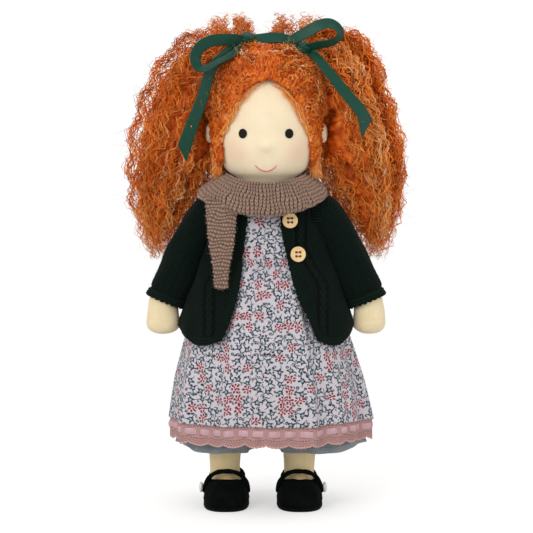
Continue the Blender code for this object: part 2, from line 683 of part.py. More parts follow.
def make_arm(side, sign):
    rings = []
    for row, share in zip(SLEEVE_SHARES[:7] + SLEEVE_SHARES[-1:], ARM_SHARES):
        centre, across = sleeve_station(sign, row)
        rings.append(oval(centre, across, FRONT, ARM_RADIUS * share, ARM_RADIUS * share, 16))
    centre, across = sleeve_station(sign, SLEEVE_SHARES[-1])
    for share, wide, deep in HAND_SHARES:
        level = across.lerp(Vector((sign, 0, 0)), share).normalized()
        drop = Vector((sign * HAND_LENGTH * HAND_DRIFT_SHARE * share, 0, -HAND_LENGTH * share))
        rings.append(oval(centre + drop, level, FRONT, HAND_HALF_WIDTH * wide, HAND_HALF_DEPTH * deep, 16))
    arm = place(f"arm_{side}", loft(f"arm_{side}", rings), SKIN)
    start = sign * (TORSO_HALF_WIDTH + GAP)
    end = sign * (ARMHOLE_X + ARM_RADIUS)
    stub = rod(f"arm_stub_{side}", (start, 0, SHOULDER_HEIGHT), (end, 0, SHOULDER_HEIGHT), ARM_STUB_RADIUS, 12)
    boolean(arm, cutter(f"arm_stub_{side}", stub), "UNION")


def sleeve_rings(sign, growth):
    rings = []
    for row in SLEEVE_SHARES:
        centre, across = sleeve_station(sign, row)
        half = ARMHOLE_RADIUS * row[2] + growth
        rings.append(oval(centre, across, FRONT, half, half, 16))
    return rings


def tube_wall(name, outer, inner):
    """A closed wall between an outer and an inner skin, both through rings of as many points."""
    work = bmesh.new()
    skins = [[[work.verts.new(point) for point in ring] for ring in skin] for skin in (outer, inner)]
    count = len(outer[0])
    for skin in skins:
        for lower, upper in zip(skin, skin[1:]):
            for index in range(count):
                after = (index + 1) % count
                work.faces.new((lower[index], lower[after], upper[after], upper[index]))
    for end in (0, -1):
        first, second = skins[0][end], skins[1][end]
        for index in range(count):
            after = (index + 1) % count
            work.faces.new((first[index], first[after], second[after], second[index]))
    return finish_mesh(name, work)


def make_sleeve(side, sign):
    wall = tube_wall(f"sleeve_{side}", sleeve_rings(sign, 0), sleeve_rings(sign, -KNIT_THICKNESS))
    place(f"sleeve_{side}", wall, GREEN_KNIT)


# Legs, with the feet that fill the shoes
def shoe_arch(x, y, width_share, height_share, growth, floor, count):
    """One section of the shoe: an arch that stands on the sole."""
    half_width = SHOE_HALF_WIDTH * width_share + growth
    height = SHOE_HEEL_HEIGHT * height_share + growth
    ring = []
    for index in range(count):
        turn = math.pi * index / (count - 1)
        c, s = math.cos(turn), math.sin(turn)
        swell = (abs(c) ** SHOE_FULLNESS + abs(s) ** SHOE_FULLNESS) ** (-1 / SHOE_FULLNESS)
        ring.append(Vector((x + half_width * c * swell, y, SOLE_TOP + height * s * swell)))
    ring[0].z = ring[-1].z = floor
    return ring


def shoe_rings(x, growth, floor, count=12):
    """Sections of the shoe from toe to heel, moved in or out by a growth."""
    toe = SHOE_HEEL_REACH - SHOE_LENGTH
    middle = toe + SHOE_LENGTH / 2
    rings = []
    for share, width_share, height_share in SHOE_SHARES:
        y = middle + (toe + SHOE_LENGTH * share - middle) * (1 + 2 * growth / SHOE_LENGTH)
        rings.append(shoe_arch(x, y, width_share, height_share, growth, floor, count))
    return rings


def make_leg(side, sign):
    hip = Vector((sign * HIP_HALF_SPACING, 0, HIP_HEIGHT))
    ankle = Vector((STANCE_X[side], LEG_SETBACK, SOLE_TOP))
    rings = []
    for share, radius_share in LEG_SHARES:
        centre = hip.lerp(ankle, min(max(share * 2, 0), 1))
        centre.z = hip.z + (ankle.z - hip.z) * share
        rings.append(level_oval(*centre, LEG_RADIUS * radius_share, LEG_RADIUS * radius_share, 16))
    leg = place(f"leg_{side}", loft(f"leg_{side}", rings), SKIN)
    foot = shoe_rings(STANCE_X[side], -SHOE_WALL - GAP, SOLE_TOP)
    boolean(leg, cutter(f"foot_{side}", loft(f"foot_{side}", foot)), "UNION")


# Shoes: sole, upper, strap and pearl button
strap_pivots = {}


def make_shoe(side, sign):
    x = STANCE_X[side]
    toe = SHOE_HEEL_REACH - SHOE_LENGTH
    outline = []
    for direction, table in ((1, SHOE_SHARES), (-1, SHOE_SHARES[::-1])):
        for share, width_share, _ in table:
            outline.append((
                x + direction * (SHOE_HALF_WIDTH * width_share + SOLE_RIM),
                toe + SHOE_LENGTH / 2 + SHOE_LENGTH * (share - 1 / 2) * (1 + 2 * SOLE_RIM / SHOE_LENGTH),
            ))
    rings = [[Vector((px, py, z)) for px, py in outline] for z in (0, SOLE_THICKNESS)]
    place(f"shoe_sole_{side}", loft(f"shoe_sole_{side}", rings), SOLE)
    upper = place(f"shoe_upper_{side}", loft(f"shoe_upper_{side}", shoe_rings(x, 0, SOLE_TOP)), VELVET)
    cavity = shoe_rings(x, -SHOE_WALL, SOLE_TOP - OVERRUN)
    boolean(upper, cutter(f"shoe_cavity_{side}", loft(f"shoe_cavity_{side}", cavity)))
    front, back = (toe + SHOE_LENGTH * share for share in (OPENING_FRONT_SHARE, OPENING_BACK_SHARE))
    levels = (SOLE_TOP + SHOE_HEEL_HEIGHT * OPENING_LIP_SHARE, SOLE_TOP + SHOE_HEEL_HEIGHT + OVERRUN)
    half_width = SHOE_HALF_WIDTH * OPENING_HALF_WIDTH_SHARE
    rings = [level_oval(x, (front + back) / 2, z, half_width, (back - front) / 2, 20, 2.3) for z in levels]
    boolean(upper, cutter(f"shoe_opening_{side}", loft(f"shoe_opening_{side}", rings)))
    middle = toe + SHOE_LENGTH * STRAP_STATION_SHARE
    arches = []
    for growth in (GAP, GAP + STRAP_THICKNESS):
        for y in (middle - STRAP_WIDTH / 2, middle + STRAP_WIDTH / 2):
            share = (y - toe) / SHOE_LENGTH
            widths = read_table(SHOE_SHARES, share, 1), read_table(SHOE_SHARES, share, 2)
            arches.append(shoe_arch(x, y, *widths, growth, SOLE_TOP, STRAP_POINTS)[STRAP_END:-STRAP_END])
    near_in, far_in, near_out, far_out = arches
    rings = [list(points) for points in zip(near_in, far_in, far_out, near_out)]
    place(f"shoe_strap_{side}", loft(f"shoe_strap_{side}", rings), VELVET)
    root = -1 if sign > 0 else 0
    strap_pivots[side] = (near_in[root] + far_in[root] + near_out[root] + far_out[root]) / 4
    end = 1 if sign > 0 else -2
    seat = near_out[end].lerp(far_out[end], 1 / 2)
    out = sign * (GAP + PEARL_SEAT + PEARL_THICKNESS / 2)
    pearl = ball(
        f"shoe_button_{side}", seat + Vector((out, 0, 0)), PEARL_THICKNESS / 2, PEARL_RADIUS, PEARL_RADIUS, 12, 6, 2.3,
    )
    place(f"shoe_button_{side}", pearl, PEARL)


# Dress, lace and bloomers
def make_dress():
    levels = [WAIST, *UPPER_LEVELS]
    skins = [[torso_ring(z, growth) for z in levels] for growth in (BODICE_GROWTH, CLOTH_EASE)]
    for skin in skins:
        for point in skin[0]:
            point.z = WAIST + GAP
    bodice = place("dress_bodice", tube_wall("dress_bodice", *skins), FLORAL)
    reach = TORSO_HALF_WIDTH + CARDIGAN_OUTSIDE + OVERRUN
    radius = ARM_STUB_RADIUS + GAP * 2
    ends = [(side * reach, 0, SHOULDER_HEIGHT) for side in (-1, 1)]
    boolean(bodice, cutter("armholes", rod("armholes", *ends, radius, 12)))
    shares = (0, 0.05, 0.14, 0.28, 0.52, 1)
    skins = [[skirt_ring(WAIST - SKIRT_LENGTH * share, inset) for share in shares] for inset in (0, CLOTH_THICKNESS)]
    place("dress_skirt", tube_wall("dress_skirt", *skins), FLORAL)


def hem_ring(z, out, count, scallop=0.0):
    """A ring that follows the hem of the skirt, moved out or in, with scallops where they are asked for."""
    ring = []
    for index, point in enumerate(skirt_ring(HEM, -out, count, folds=False)):
        dip = scallop * abs(math.sin(math.pi * index * SCALLOP_COUNT / count))
        ring.append(Vector((point.x, point.y, z - dip)))
    return ring


def make_lace():
    top, bottom = HEM + LACE_OVERLAP, HEM - LACE_HEIGHT + SCALLOP_DEPTH
    inside = -FOLD_DEPTH - CLOTH_THICKNESS - GAP * 2
    count = SCALLOP_COUNT * 2
    skins = [
        [hem_ring(top, inside - inset, count), hem_ring(bottom, inside - inset, count, SCALLOP_DEPTH)]
        for inset in (0, LACE_THICKNESS)
    ]
    place("lace_trim", tube_wall("lace_trim", *skins), LACE)
    high = HEM - LACE_RIBBON_DROP
    skins = [
        [hem_ring(z, inside + GAP + out, count) for z in (high, high - LACE_RIBBON_WIDTH)]
        for out in (LACE_RIBBON_THICKNESS, 0)
    ]
    place("lace_ribbon", tube_wall("lace_ribbon", *skins), LACE_SATIN)


def make_bloomers():
    levels = [TORSO_BASE + BLOOMERS_WAIST_HEIGHT * share for share in (0.0, 0.3, 0.65, 1.0)]
    skins = []
    for growth in (CLOTH_EASE + CLOTH_THICKNESS, CLOTH_EASE):
        skin = []
        for z in levels:
            width, depth, _ = torso_section(max(z, levels[1]), growth)
            skin.append(level_oval(0, 0, z, width, depth, 24, BODY_FULLNESS))
        skins.append(skin)
    place("bloomers_waist", tube_wall("bloomers_waist", *skins), LINEN)
    start = TORSO_HALF_WIDTH / 2 + GAP
    for side, sign in SIDES.items():
        skins = []
        for inset in (0, CLOTH_THICKNESS):
            skin = []
            for share, grown in BLOOMERS_SHARES:
                half_width = start - GAP / 2 + (BLOOMERS_HEM_HALF_WIDTH - start) * grown
                half_depth = TORSO_HALF_DEPTH + (BLOOMERS_HEM_HALF_DEPTH - TORSO_HALF_DEPTH) * grown
                x = sign * (start + (BLOOMERS_HEM_SPREAD - start) * grown) + BLOOMERS_HEM_SHIFT * grown
                z = TORSO_BASE - GAP - BLOOMERS_LENGTH * share
                skin.append(level_oval(x, 0, z, half_width - inset, half_depth - inset, 20))
            skins.append(skin)
        place(f"bloomers_{side}", tube_wall(f"bloomers_{side}", *skins), LINEN)


# Cardigan: back, two fronts, and its wooden buttons
def cardigan_point(turn, z, growth):
    """A point at a turn from the front: 0 is the middle of the front, half a turn the middle of the back."""
    width, depth, height = cardigan_section(z, growth)
    s, c = math.sin(turn), math.cos(turn)
    power = fullness(z)
    swell = (abs(s) ** power + abs(c) ** power) ** (-1 / power)
    return Vector((width * s * swell, -depth * c * swell, height))


def cardigan_face(turn, z):
    """A point of the cardigan's outer face above the waist, where the face is straight between two levels."""
    levels = [WAIST, *UPPER_LEVELS]
    for low, high in zip(levels, levels[1:]):
        if z <= high:
            break
    part = (z - low) / (high - low)
    return cardigan_point(turn, low, CARDIGAN_OUTSIDE).lerp(cardigan_point(turn, high, CARDIGAN_OUTSIDE), part)


def edge_turn(x, z, growth):
    """The turn at which the cardigan's surface is at an x."""
    low, high = 0.0, math.pi / 2
    for _ in range(30):
        middle = (low + high) / 2
        if cardigan_point(middle, z, growth).x < x:
            low = middle
        else:
            high = middle
    return low


def panel(name, columns, rows, point_at, finish):
    """A sheet of columns by rows points, with a second skin outside it, closed round its rim."""
    work = bmesh.new()
    skins = []
    for growth in (CARDIGAN_INSIDE, CARDIGAN_OUTSIDE):
        skins.append([
            [work.verts.new(point_at(column / columns, row, growth)) for column in range(columns + 1)]
            for row in range(rows + 1)
        ])
    for skin in skins:
        for row in range(rows):
            for column in range(columns):
                work.faces.new((
                    skin[row][column], skin[row][column + 1], skin[row + 1][column + 1], skin[row + 1][column],
                ))
    rim = [(0, column) for column in range(columns)] + [(row, columns) for row in range(rows)]
    rim += [(rows, column) for column in range(columns, 0, -1)] + [(row, 0) for row in range(rows, 0, -1)]
    for (row, column), (next_row, next_column) in zip(rim, rim[1:] + rim[:1]):
        work.faces.new((
            skins[0][row][column], skins[0][next_row][next_column],
            skins[1][next_row][next_column], skins[1][row][column],
        ))
    return place(name, finish_mesh(name, work), finish)


def make_cardigan():
    top = UPPER_LEVELS[-1]
    hem = top - CARDIGAN_BACK_LENGTH
    seam = GAP / TORSO_HALF_WIDTH
    rows = SKIRT_ROWS + len(UPPER_LEVELS)

    def level(row, bottom):
        if row > SKIRT_ROWS:
            return UPPER_LEVELS[row - SKIRT_ROWS - 1]
        return bottom + (WAIST - bottom) * row / SKIRT_ROWS

    def back_point(u, row, growth):
        turn = math.pi / 2 + seam + (math.pi - 2 * seam) * u
        return cardigan_point(turn, level(row, hem), growth)

    panels = [panel("cardigan_back", 14, rows, back_point, GREEN_KNIT)]
    tables = {"right": RIGHT_EDGE_SHARES, "left": LEFT_EDGE_SHARES}
    for side, sign in SIDES.items():
        def front_point(u, row, growth, table=tables[side], sign=sign):
            bottom = hem - CARDIGAN_CORNER_DROP * read_table(CORNER_SHARES, u)
            z = level(row, bottom)
            rise = (z - hem + CARDIGAN_CORNER_DROP) / (top - hem + CARDIGAN_CORNER_DROP)
            edge = edge_turn(read_table(table, rise) * CARDIGAN_FRONT_REACH, z, CARDIGAN_INSIDE)
            point = cardigan_point(math.pi / 2 - seam + (edge - math.pi / 2 + seam) * u, z, growth)
            return Vector((sign * point.x, point.y, point.z))

        panels.append(panel(f"cardigan_front_{side}", 8, rows, front_point, GREEN_KNIT))
    for made in panels:
        boolean(made, bpy.data.objects["armholes"])


def make_buttons():
    for name, drop in (("upper", 0), ("lower", BUTTON_PITCH)):
        z = SHOULDER_HEIGHT - BUTTON_TOP_DROP - drop
        x = BUTTON_X if name == "upper" else BUTTON_LOWER_X
        turn = edge_turn(x, z, CARDIGAN_OUTSIDE)
        seat = cardigan_face(turn, z)
        aside = cardigan_face(turn + SMALL_TURN, z)
        above = cardigan_face(turn, z + BUTTON_RADIUS / 2)
        out = (aside - seat).cross(above - seat).normalized()
        frame = out.to_track_quat("Z", "Y").to_matrix().to_4x4()
        back = GAP + BUTTON_SEAT
        frame = Matrix.Translation(seat) @ frame
        disc = rod(f"button_{name}", (0, 0, back), (0, 0, back + BUTTON_THICKNESS), BUTTON_RADIUS, 18)
        disc.transform(frame)
        button = place(f"button_{name}", disc, WOOD)
        face = back + BUTTON_THICKNESS
        dish = rod(
            f"button_dish_{name}", (0, 0, face - BUTTON_DISH_DEPTH), (0, 0, face + OVERRUN), BUTTON_DISH_RADIUS, 12,
        )
        dish.transform(frame)
        boolean(button, cutter(f"button_dish_{name}", dish))
        top = face - BUTTON_DISH_DEPTH + GAP
        thread = None
        for index, (sx, sy) in enumerate(((1, 1), (1, -1), (-1, 1), (-1, -1))):
            hx, hy = sx * BUTTON_HOLE_SPACING, sy * BUTTON_HOLE_SPACING
            hole = rod(f"button_hole_{name}_{index}", (hx, hy, -OVERRUN), (hx, hy, OVERRUN), BUTTON_HOLE_RADIUS, 8)
            hole.transform(frame)
            boolean(button, cutter(f"button_hole_{name}_{index}", hole))
            ends = (hx, hy, GAP + BUTTON_THREAD_RADIUS), (hx, hy, top)
            post = rod(f"thread_{name}_{index}", *ends, BUTTON_THREAD_RADIUS, 6)
            post.transform(frame)
            if thread is None:
                thread = place(f"button_thread_{name}", post, THREAD)
            else:
                boolean(thread, cutter(f"thread_{name}_{index}", post), "UNION")
        reach = BUTTON_HOLE_SPACING + BUTTON_THREAD_RADIUS * 1.4
        for index, y in enumerate((-BUTTON_HOLE_SPACING, BUTTON_HOLE_SPACING)):
            low = (-reach, y - BUTTON_THREAD_RADIUS * 0.8, top - BUTTON_THREAD_RADIUS / 4)
            high = (reach, y + BUTTON_THREAD_RADIUS * 0.8, top + BUTTON_THREAD_RADIUS)
            bar = block(f"thread_bar_{name}_{index}", low, high)
            bar.transform(frame)
            boolean(thread, cutter(f"thread_bar_{name}_{index}", bar), "UNION")
        plate = block(f"thread_plate_{name}", (-reach, -reach, GAP), (reach, reach, BUTTON_SEAT))
        plate.transform(frame)
        boolean(thread, cutter(f"thread_plate_{name}", plate), "UNION")


# Scarf: a thick wrap round the neck, and the tail that hangs from under its front
def scarf_section(turn):
    """The inner top and outer bottom of the wrap, at a turn round the neck from the front."""
    front = (1 + math.cos(turn)) / 2
    front = front**2
    side = abs(math.sin(turn))
    inner = SCARF_TOP_RADIUS
    outer = SCARF_FRONT_REACH + (SCARF_SIDE_REACH - SCARF_FRONT_REACH) * side
    high = NECK_SEAT + SCARF_RIM_RISE - SCARF_FRONT_DIP * front
    height = SCARF_SIDE_HEIGHT + (SCARF_FRONT_HEIGHT - SCARF_SIDE_HEIGHT) * front
    away = Vector((math.sin(turn), -math.cos(turn), 0))
    return away * inner + UP * high, away * outer + UP * (high - height)


def scarf_mesh(name, growth=0.0):
    rings = []
    count = 26
    for index in range(count + 1):
        top, bottom = scarf_section(math.tau * index / count)
        middle, half = (top + bottom) / 2, (top - bottom).length / 2
        along = (top - bottom).normalized()
        forward = Vector((math.cos(math.tau * index / count), math.sin(math.tau * index / count), 0))
        across = along.cross(forward).normalized()
        rings.append(oval(middle, along, across, half + growth, SCARF_TUBE_HALF + growth, 10, 2.4))
    work = bmesh.new()
    rows = [[work.verts.new(point) for point in ring] for ring in rings[:-1]]
    for row, after_row in zip(rows, rows[1:] + rows[:1]):
        for index in range(10):
            after = (index + 1) % 10
            work.faces.new((row[index], row[after], after_row[after], after_row[index]))
    return finish_mesh(name, work)


def make_scarf():
    wrap = place("scarf_wrap", scarf_mesh("scarf_wrap"), TAUPE_KNIT)
    for room in (head_sweep, body_room, shoulder_room):
        boolean(wrap, room)
    half = TAIL_THICKNESS / 2
    reach = TAIL_TOP_WIDTH / 2 + GAP * 2
    across = Vector((math.cos(TAIL_EDGE_TILT), 0, -math.sin(TAIL_EDGE_TILT))) * reach
    radius = math.hypot(half, TAIL_HINGE_DROP) + GAP
    roll = rod("tail_roll", SCARF_TAIL_HINGE - across, SCARF_TAIL_HINGE + across, radius, 16)
    boolean(wrap, cutter("tail_roll", roll))
    swing = block("tail_swing", (-reach, -SCARF_FRONT_REACH, -TAIL_LENGTH), (reach, half + GAP, half + GAP))
    swing.transform(Matrix.Translation(SCARF_TAIL_HINGE) @ Matrix.Rotation(TAIL_EDGE_TILT, 4, "Y"))
    boolean(wrap, cutter("tail_swing", swing))


def make_tail():
    rings = []
    steps = 8
    normal = FRONT * TAIL_THICKNESS / 2
    for index in range(steps + 1):
        share = index / steps
        half = (TAIL_TOP_WIDTH + (TAIL_TIP_WIDTH - TAIL_TOP_WIDTH) * share) / 2
        tilt = TAIL_EDGE_TILT * (1 - share)
        across = Vector((math.cos(tilt), 0, -math.sin(tilt))) * half
        centre = Vector((TAIL_X, TAIL_Y - TAIL_SLANT * share, TAIL_TOP_HEIGHT - TAIL_LENGTH * share))
        rings.append([
            centre - across + normal, centre + normal, centre + across + normal,
            centre + across - normal, centre - normal, centre - across - normal,
        ])
    tail = place("scarf_tail", loft("scarf_tail", rings), TAUPE_KNIT)
    boolean(tail, body_room)


# Rooms that a piece leaves for its neighbours
cap_room = cutter("cap_room", cap_ball("cap_room", GAP))
sweep = HEAD_HALF_WIDTH + GAP * 2
head_sweep = cutter(
    "head_sweep", ball("head_sweep", (0, 0, HEAD_CENTRE), sweep, sweep, HEAD_HALF_HEIGHT + GAP * 2, 28, 18, 2.2)
)
body_levels = [TORSO_BASE + TORSO_HEIGHT * share for share in (0.66, 0.74, 0.82, 0.88, 0.94, 0.978, 0.995, 1.0)]
body_room = cutter(
    "body_room", loft("body_room", [torso_ring(z, CARDIGAN_OUTSIDE + GAP, 24) for z in body_levels])
)
shoulder_reach = ARMHOLE_X + SLEEVE_SPLAY
shoulder_room = cutter("shoulder_room", rod(
    "shoulder_room", (-shoulder_reach, 0, SHOULDER_HEIGHT), (shoulder_reach, 0, SHOULDER_HEIGHT),
    ARMHOLE_RADIUS * SLEEVE_SHARES[1][2] + GAP, 22,
))
sleeve_rooms = [
    cutter(f"sleeve_room_{side}", loft(f"sleeve_room_{side}", sleeve_rings(sign, GAP))) for side, sign in SIDES.items()
]
scarf_room = cutter("scarf_room", scarf_mesh("scarf_room", GAP))

make_head()
make_face()
make_bunches(make_hair_cap(), (scarf_room, body_room, shoulder_room, *sleeve_rooms))
make_ribbon()
make_torso()
for side, sign in SIDES.items():
    make_arm(side, sign)
    make_sleeve(side, sign)
    make_leg(side, sign)
    make_shoe(side, sign)
make_dress()
make_lace()
make_bloomers()
make_cardigan()
make_buttons()
make_scarf()
make_tail()

# Each moving piece has its origin on the axis that it turns about
pivots = {"head": Vector((0, 0, NECK_SEAT)), "mouth": Vector((0, 0, NECK_SEAT)), "scarf_tail": SCARF_TAIL_HINGE}
pivots.update({name: pivots["head"] for name in ("hair_cap", "ribbon_band")})
for side, sign in SIDES.items():
    for name in ("ear", "eye", "hair_tie", "hair_bunch", "bow_knot", "bow_loop", "bow_tail"):
        pivots[f"{name}_{side}"] = pivots["head"]
    for name in ("arm", "sleeve"):
        pivots[f"{name}_{side}"] = Vector((sign * ARMHOLE_X, 0, SHOULDER_HEIGHT))
    for name in ("leg", "shoe_sole", "shoe_upper"):
        pivots[f"{name}_{side}"] = Vector((sign * HIP_HALF_SPACING, 0, HIP_HEIGHT))
    for name in ("shoe_strap", "shoe_button"):
        pivots[f"{name}_{side}"] = strap_pivots[side]
for name, pivot in pivots.items():
    made = bpy.data.objects[name]
    made.data.transform(Matrix.Translation(-pivot))
    made.location = pivot
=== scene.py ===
# A standing rag doll of the Waldorf kind: mohair curls, satin ribbon, knitwear, printed cotton and velvet shoes
import json
import math

import bpy
import numpy as np
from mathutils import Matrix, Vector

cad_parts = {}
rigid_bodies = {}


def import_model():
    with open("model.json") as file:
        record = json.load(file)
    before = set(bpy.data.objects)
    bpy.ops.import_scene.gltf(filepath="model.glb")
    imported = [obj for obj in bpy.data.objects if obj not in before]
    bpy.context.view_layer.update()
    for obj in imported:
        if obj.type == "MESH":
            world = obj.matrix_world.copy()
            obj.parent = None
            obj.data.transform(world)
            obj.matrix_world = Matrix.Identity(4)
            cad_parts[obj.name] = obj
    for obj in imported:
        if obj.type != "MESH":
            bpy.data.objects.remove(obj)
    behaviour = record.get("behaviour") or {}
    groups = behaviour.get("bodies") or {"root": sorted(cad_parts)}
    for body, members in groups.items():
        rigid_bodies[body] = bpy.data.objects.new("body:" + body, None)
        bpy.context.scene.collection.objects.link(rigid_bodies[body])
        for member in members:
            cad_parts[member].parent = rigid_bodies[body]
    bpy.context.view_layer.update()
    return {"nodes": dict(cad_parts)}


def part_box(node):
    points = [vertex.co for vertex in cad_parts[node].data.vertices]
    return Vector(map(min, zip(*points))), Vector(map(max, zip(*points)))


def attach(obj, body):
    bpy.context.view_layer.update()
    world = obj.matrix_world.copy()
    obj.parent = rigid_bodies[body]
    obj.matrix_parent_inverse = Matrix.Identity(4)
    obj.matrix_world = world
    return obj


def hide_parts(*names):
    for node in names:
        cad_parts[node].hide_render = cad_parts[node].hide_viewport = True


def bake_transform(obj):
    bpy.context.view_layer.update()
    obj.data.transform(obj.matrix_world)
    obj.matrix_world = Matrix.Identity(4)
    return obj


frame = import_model()

mm = 0.001
sides = {"right": -1, "left": 1}
print("frame loaded")


# Mesh helpers
def gridFaces(rows, columns, closed=False):
    across = columns if closed else columns - 1
    r, c = np.meshgrid(np.arange(rows - 1), np.arange(across), indexing="ij")
    after = (c + 1) % columns
    quads = [r * columns + c, r * columns + after, (r + 1) * columns + after, (r + 1) * columns + c]
    return np.stack(quads, -1).reshape(-1, 4)


def buildMesh(name, points, *faceGroups):
    mesh = bpy.data.meshes.new(name)
    corners = np.concatenate([np.asarray(group).ravel() for group in faceGroups])
    sizes = np.concatenate([np.full(len(group), np.asarray(group).shape[1]) for group in faceGroups])
    mesh.vertices.add(len(points))
    mesh.vertices.foreach_set("co", np.asarray(points, np.float32).ravel())
    mesh.loops.add(len(corners))
    mesh.loops.foreach_set("vertex_index", corners.astype(np.int32))
    mesh.polygons.add(len(sizes))
    mesh.polygons.foreach_set("loop_start", np.concatenate([[0], np.cumsum(sizes)[:-1]]).astype(np.int32))
    mesh.update(calc_edges=True)
    mesh.shade_smooth()
    return mesh


def addClothMap(mesh, alongMm, acrossMm):
    # The print, the linen and the satin read this map, which is in millimetres
    rows, columns = alongMm.shape
    r, c = np.meshgrid(np.arange(rows - 1), np.arange(columns - 1), indexing="ij")
    order = [(r, c), (r, c + 1), (r + 1, c + 1), (r + 1, c)]
    values = np.stack([np.stack([acrossMm[at], alongMm[at]], -1) for at in order], 2).reshape(-1, 2)
    layer = mesh.uv_layers.new(name="clothMm")
    full = np.zeros((len(mesh.loops), 2), np.float32)
    full[:len(values)] = values
    layer.data.foreach_set("uv", full.ravel())


def addPiece(name, mesh, finish, body, nodes=()):
    piece = bpy.data.objects.new(name, mesh)
    bpy.context.scene.collection.objects.link(piece)
    mesh.materials.clear()
    mesh.materials.append(finish)
    if body:
        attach(piece, body)
    if nodes:
        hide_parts(*nodes)
    return piece


def thicken(piece, thickness, offset=-1):
    solid = piece.modifiers.new("thickness", "SOLIDIFY")
    solid.thickness = thickness
    solid.offset = offset
    return piece


def addShade(mesh, name, values):
    # A number from 0 to 1 at each point, which the finish reads: the tint of a yarn or its relief over the pits
    layer = mesh.attributes.new(name, "FLOAT", "POINT")
    layer.data.foreach_set("value", np.clip(values, 0, 1).ravel().astype(np.float32))


def ringBody(name, grid, finish, body, nodes, capped=True, thickness=0.0, flip=False, shade=None):
    # A rounded body made of stacked rings, in millimetres
    rows, columns = grid.shape[:2]
    faces = gridFaces(rows, columns, closed=True)
    ends = [np.arange(columns)[None, ::-1], np.arange(columns)[None] + (rows - 1) * columns] if capped else []
    if flip:
        faces, ends = faces[:, ::-1], [end[:, ::-1] for end in ends]
    mesh = buildMesh(name, grid.reshape(-1, 3) * mm, faces, *ends)
    if shade:
        addShade(mesh, *shade)
    piece = addPiece(name, mesh, finish, body, nodes)
    if thickness:
        thicken(piece, thickness * mm)
    return piece


def unit(vectors):
    return vectors / np.maximum(np.linalg.norm(vectors, axis=-1, keepdims=True), 1e-9)


def gridNormals(grid, closed=False):
    if closed:
        across = np.roll(grid, -1, 1) - np.roll(grid, 1, 1)
    else:
        across = np.gradient(grid, axis=1)
    return unit(np.cross(across, np.gradient(grid, axis=0)))


def outwardNormals(grid, middle, closed=False):
    normals = gridNormals(grid, closed)
    return normals if np.sum((grid - middle) * normals) > 0 else -normals


def swelling(s, c, power):
    # Turns a circle into a rounded box: a power of 2 leaves it as it is
    return (np.abs(s) ** power + np.abs(c) ** power) ** (-1 / power)


def easeInOut(part):
    return part * part * (3 - 2 * part)


def gridLengths(grid, axis):
    steps = np.linalg.norm(np.diff(grid, axis=axis), axis=-1)
    total = np.cumsum(steps, axis)
    pad = [(0, 0), (0, 0)]
    pad[axis] = (1, 0)
    return np.pad(total, pad)


def ripple(points, size, seed, waves=7):
    # Smooth noise from about -1 to 1, a sum of waves in seeded directions
    rng = np.random.default_rng(seed)
    total = np.zeros(points.shape[:-1])
    for _ in range(waves):
        direction = rng.normal(size=3)
        direction *= rng.uniform(0.7, 1.5) / np.linalg.norm(direction)
        total += np.sin(points @ direction * math.tau / size + rng.uniform(0, math.tau))
    return total / math.sqrt(waves)


def curveThrough(keys, shares):
    # A smooth curve through a list of points, read at shares from 0 to 1
    keys = np.asarray(keys, float)
    count = len(keys) - 1
    place = np.clip(np.asarray(shares, float), 0, 1) * count
    index = np.minimum(place.astype(int), count - 1)
    part = (place - index)[..., None]
    padded = np.concatenate([[2 * keys[0] - keys[1]], keys, [2 * keys[-1] - keys[-2]]])
    a, b, c, d = (padded[index + k] for k in range(4))
    bend = (2 * a - 5 * b + 4 * c - d) * part**2 + (3 * (b - c) + d - a) * part**3
    return (2 * b + (c - a) * part + bend) / 2


def tubes(paths, radii, count, caps=True):
    # paths is strands x points x 3 and radii is strands x points
    paths = np.asarray(paths, float)
    strands, points = paths.shape[:2]
    along = unit(np.gradient(paths, axis=1))
    side = unit(np.cross(along, unit(np.array([0.31, 0.83, 0.46]))))
    other = np.cross(along, side)
    turns = np.arange(count) * math.tau / count
    ring = side[:, :, None] * np.cos(turns)[:, None] + other[:, :, None] * np.sin(turns)[:, None]
    surface = paths[:, :, None] + ring * np.asarray(radii)[:, :, None, None]
    one = gridFaces(points, count, closed=True)
    starts = np.arange(strands)[:, None, None] * points * count
    faces = (one[None] + starts).reshape(-1, 4)
    groups = [faces]
    if caps:
        first = np.arange(count)[::-1]
        last = np.arange(count) + (points - 1) * count
        groups.append((np.stack([first, last])[None] + starts).reshape(-1, count))
    return surface.reshape(-1, 3), groups


# Material helpers
def hexColour(code):
    parts = [int(code[k:k + 2], 16) / 255 for k in (1, 3, 5)]
    linear = [p / 12.92 if p <= 0.04045 else ((p + 0.055) / 1.055) ** 2.4 for p in parts]
    return (*linear, 1)


def addNode(tree, kind, settings=None, links=None):
    # Settings that start with a capital or are numbers are sockets, the others are the node's own
    node = tree.nodes.new(f"ShaderNode{kind}")
    ordered = sorted((settings or {}).items(), key=lambda item: not isinstance(item[0], str) or item[0][0].isupper())
    for key, value in ordered:
        if isinstance(key, str) and key[0].islower():
            setattr(node, key, value)
        else:
            node.inputs[key].default_value = value
    for key, value in (links or {}).items():
        tree.links.new(value, node.inputs[key])
    return node


def combine(tree, operation, *values):
    # One step of arithmetic on sockets and numbers
    node = addNode(tree, "Math", {"operation": operation})
    for index, value in enumerate(values):
        if isinstance(value, (int, float)):
            node.inputs[index].default_value = value
        else:
            tree.links.new(value, node.inputs[index])
    return node.outputs[0]


def mixColours(tree, first, second, share):
    # Each of the two colours is a code or a socket
    node = addNode(tree, "Mix", {"data_type": "RGBA"}, {0: share})
    for index, colour in ((6, first), (7, second)):
        if isinstance(colour, str):
            node.inputs[index].default_value = hexColour(colour)
        else:
            tree.links.new(colour, node.inputs[index])
    return node.outputs[2]


def objectSpot(tree):
    return addNode(tree, "TexCoord").outputs["Object"]


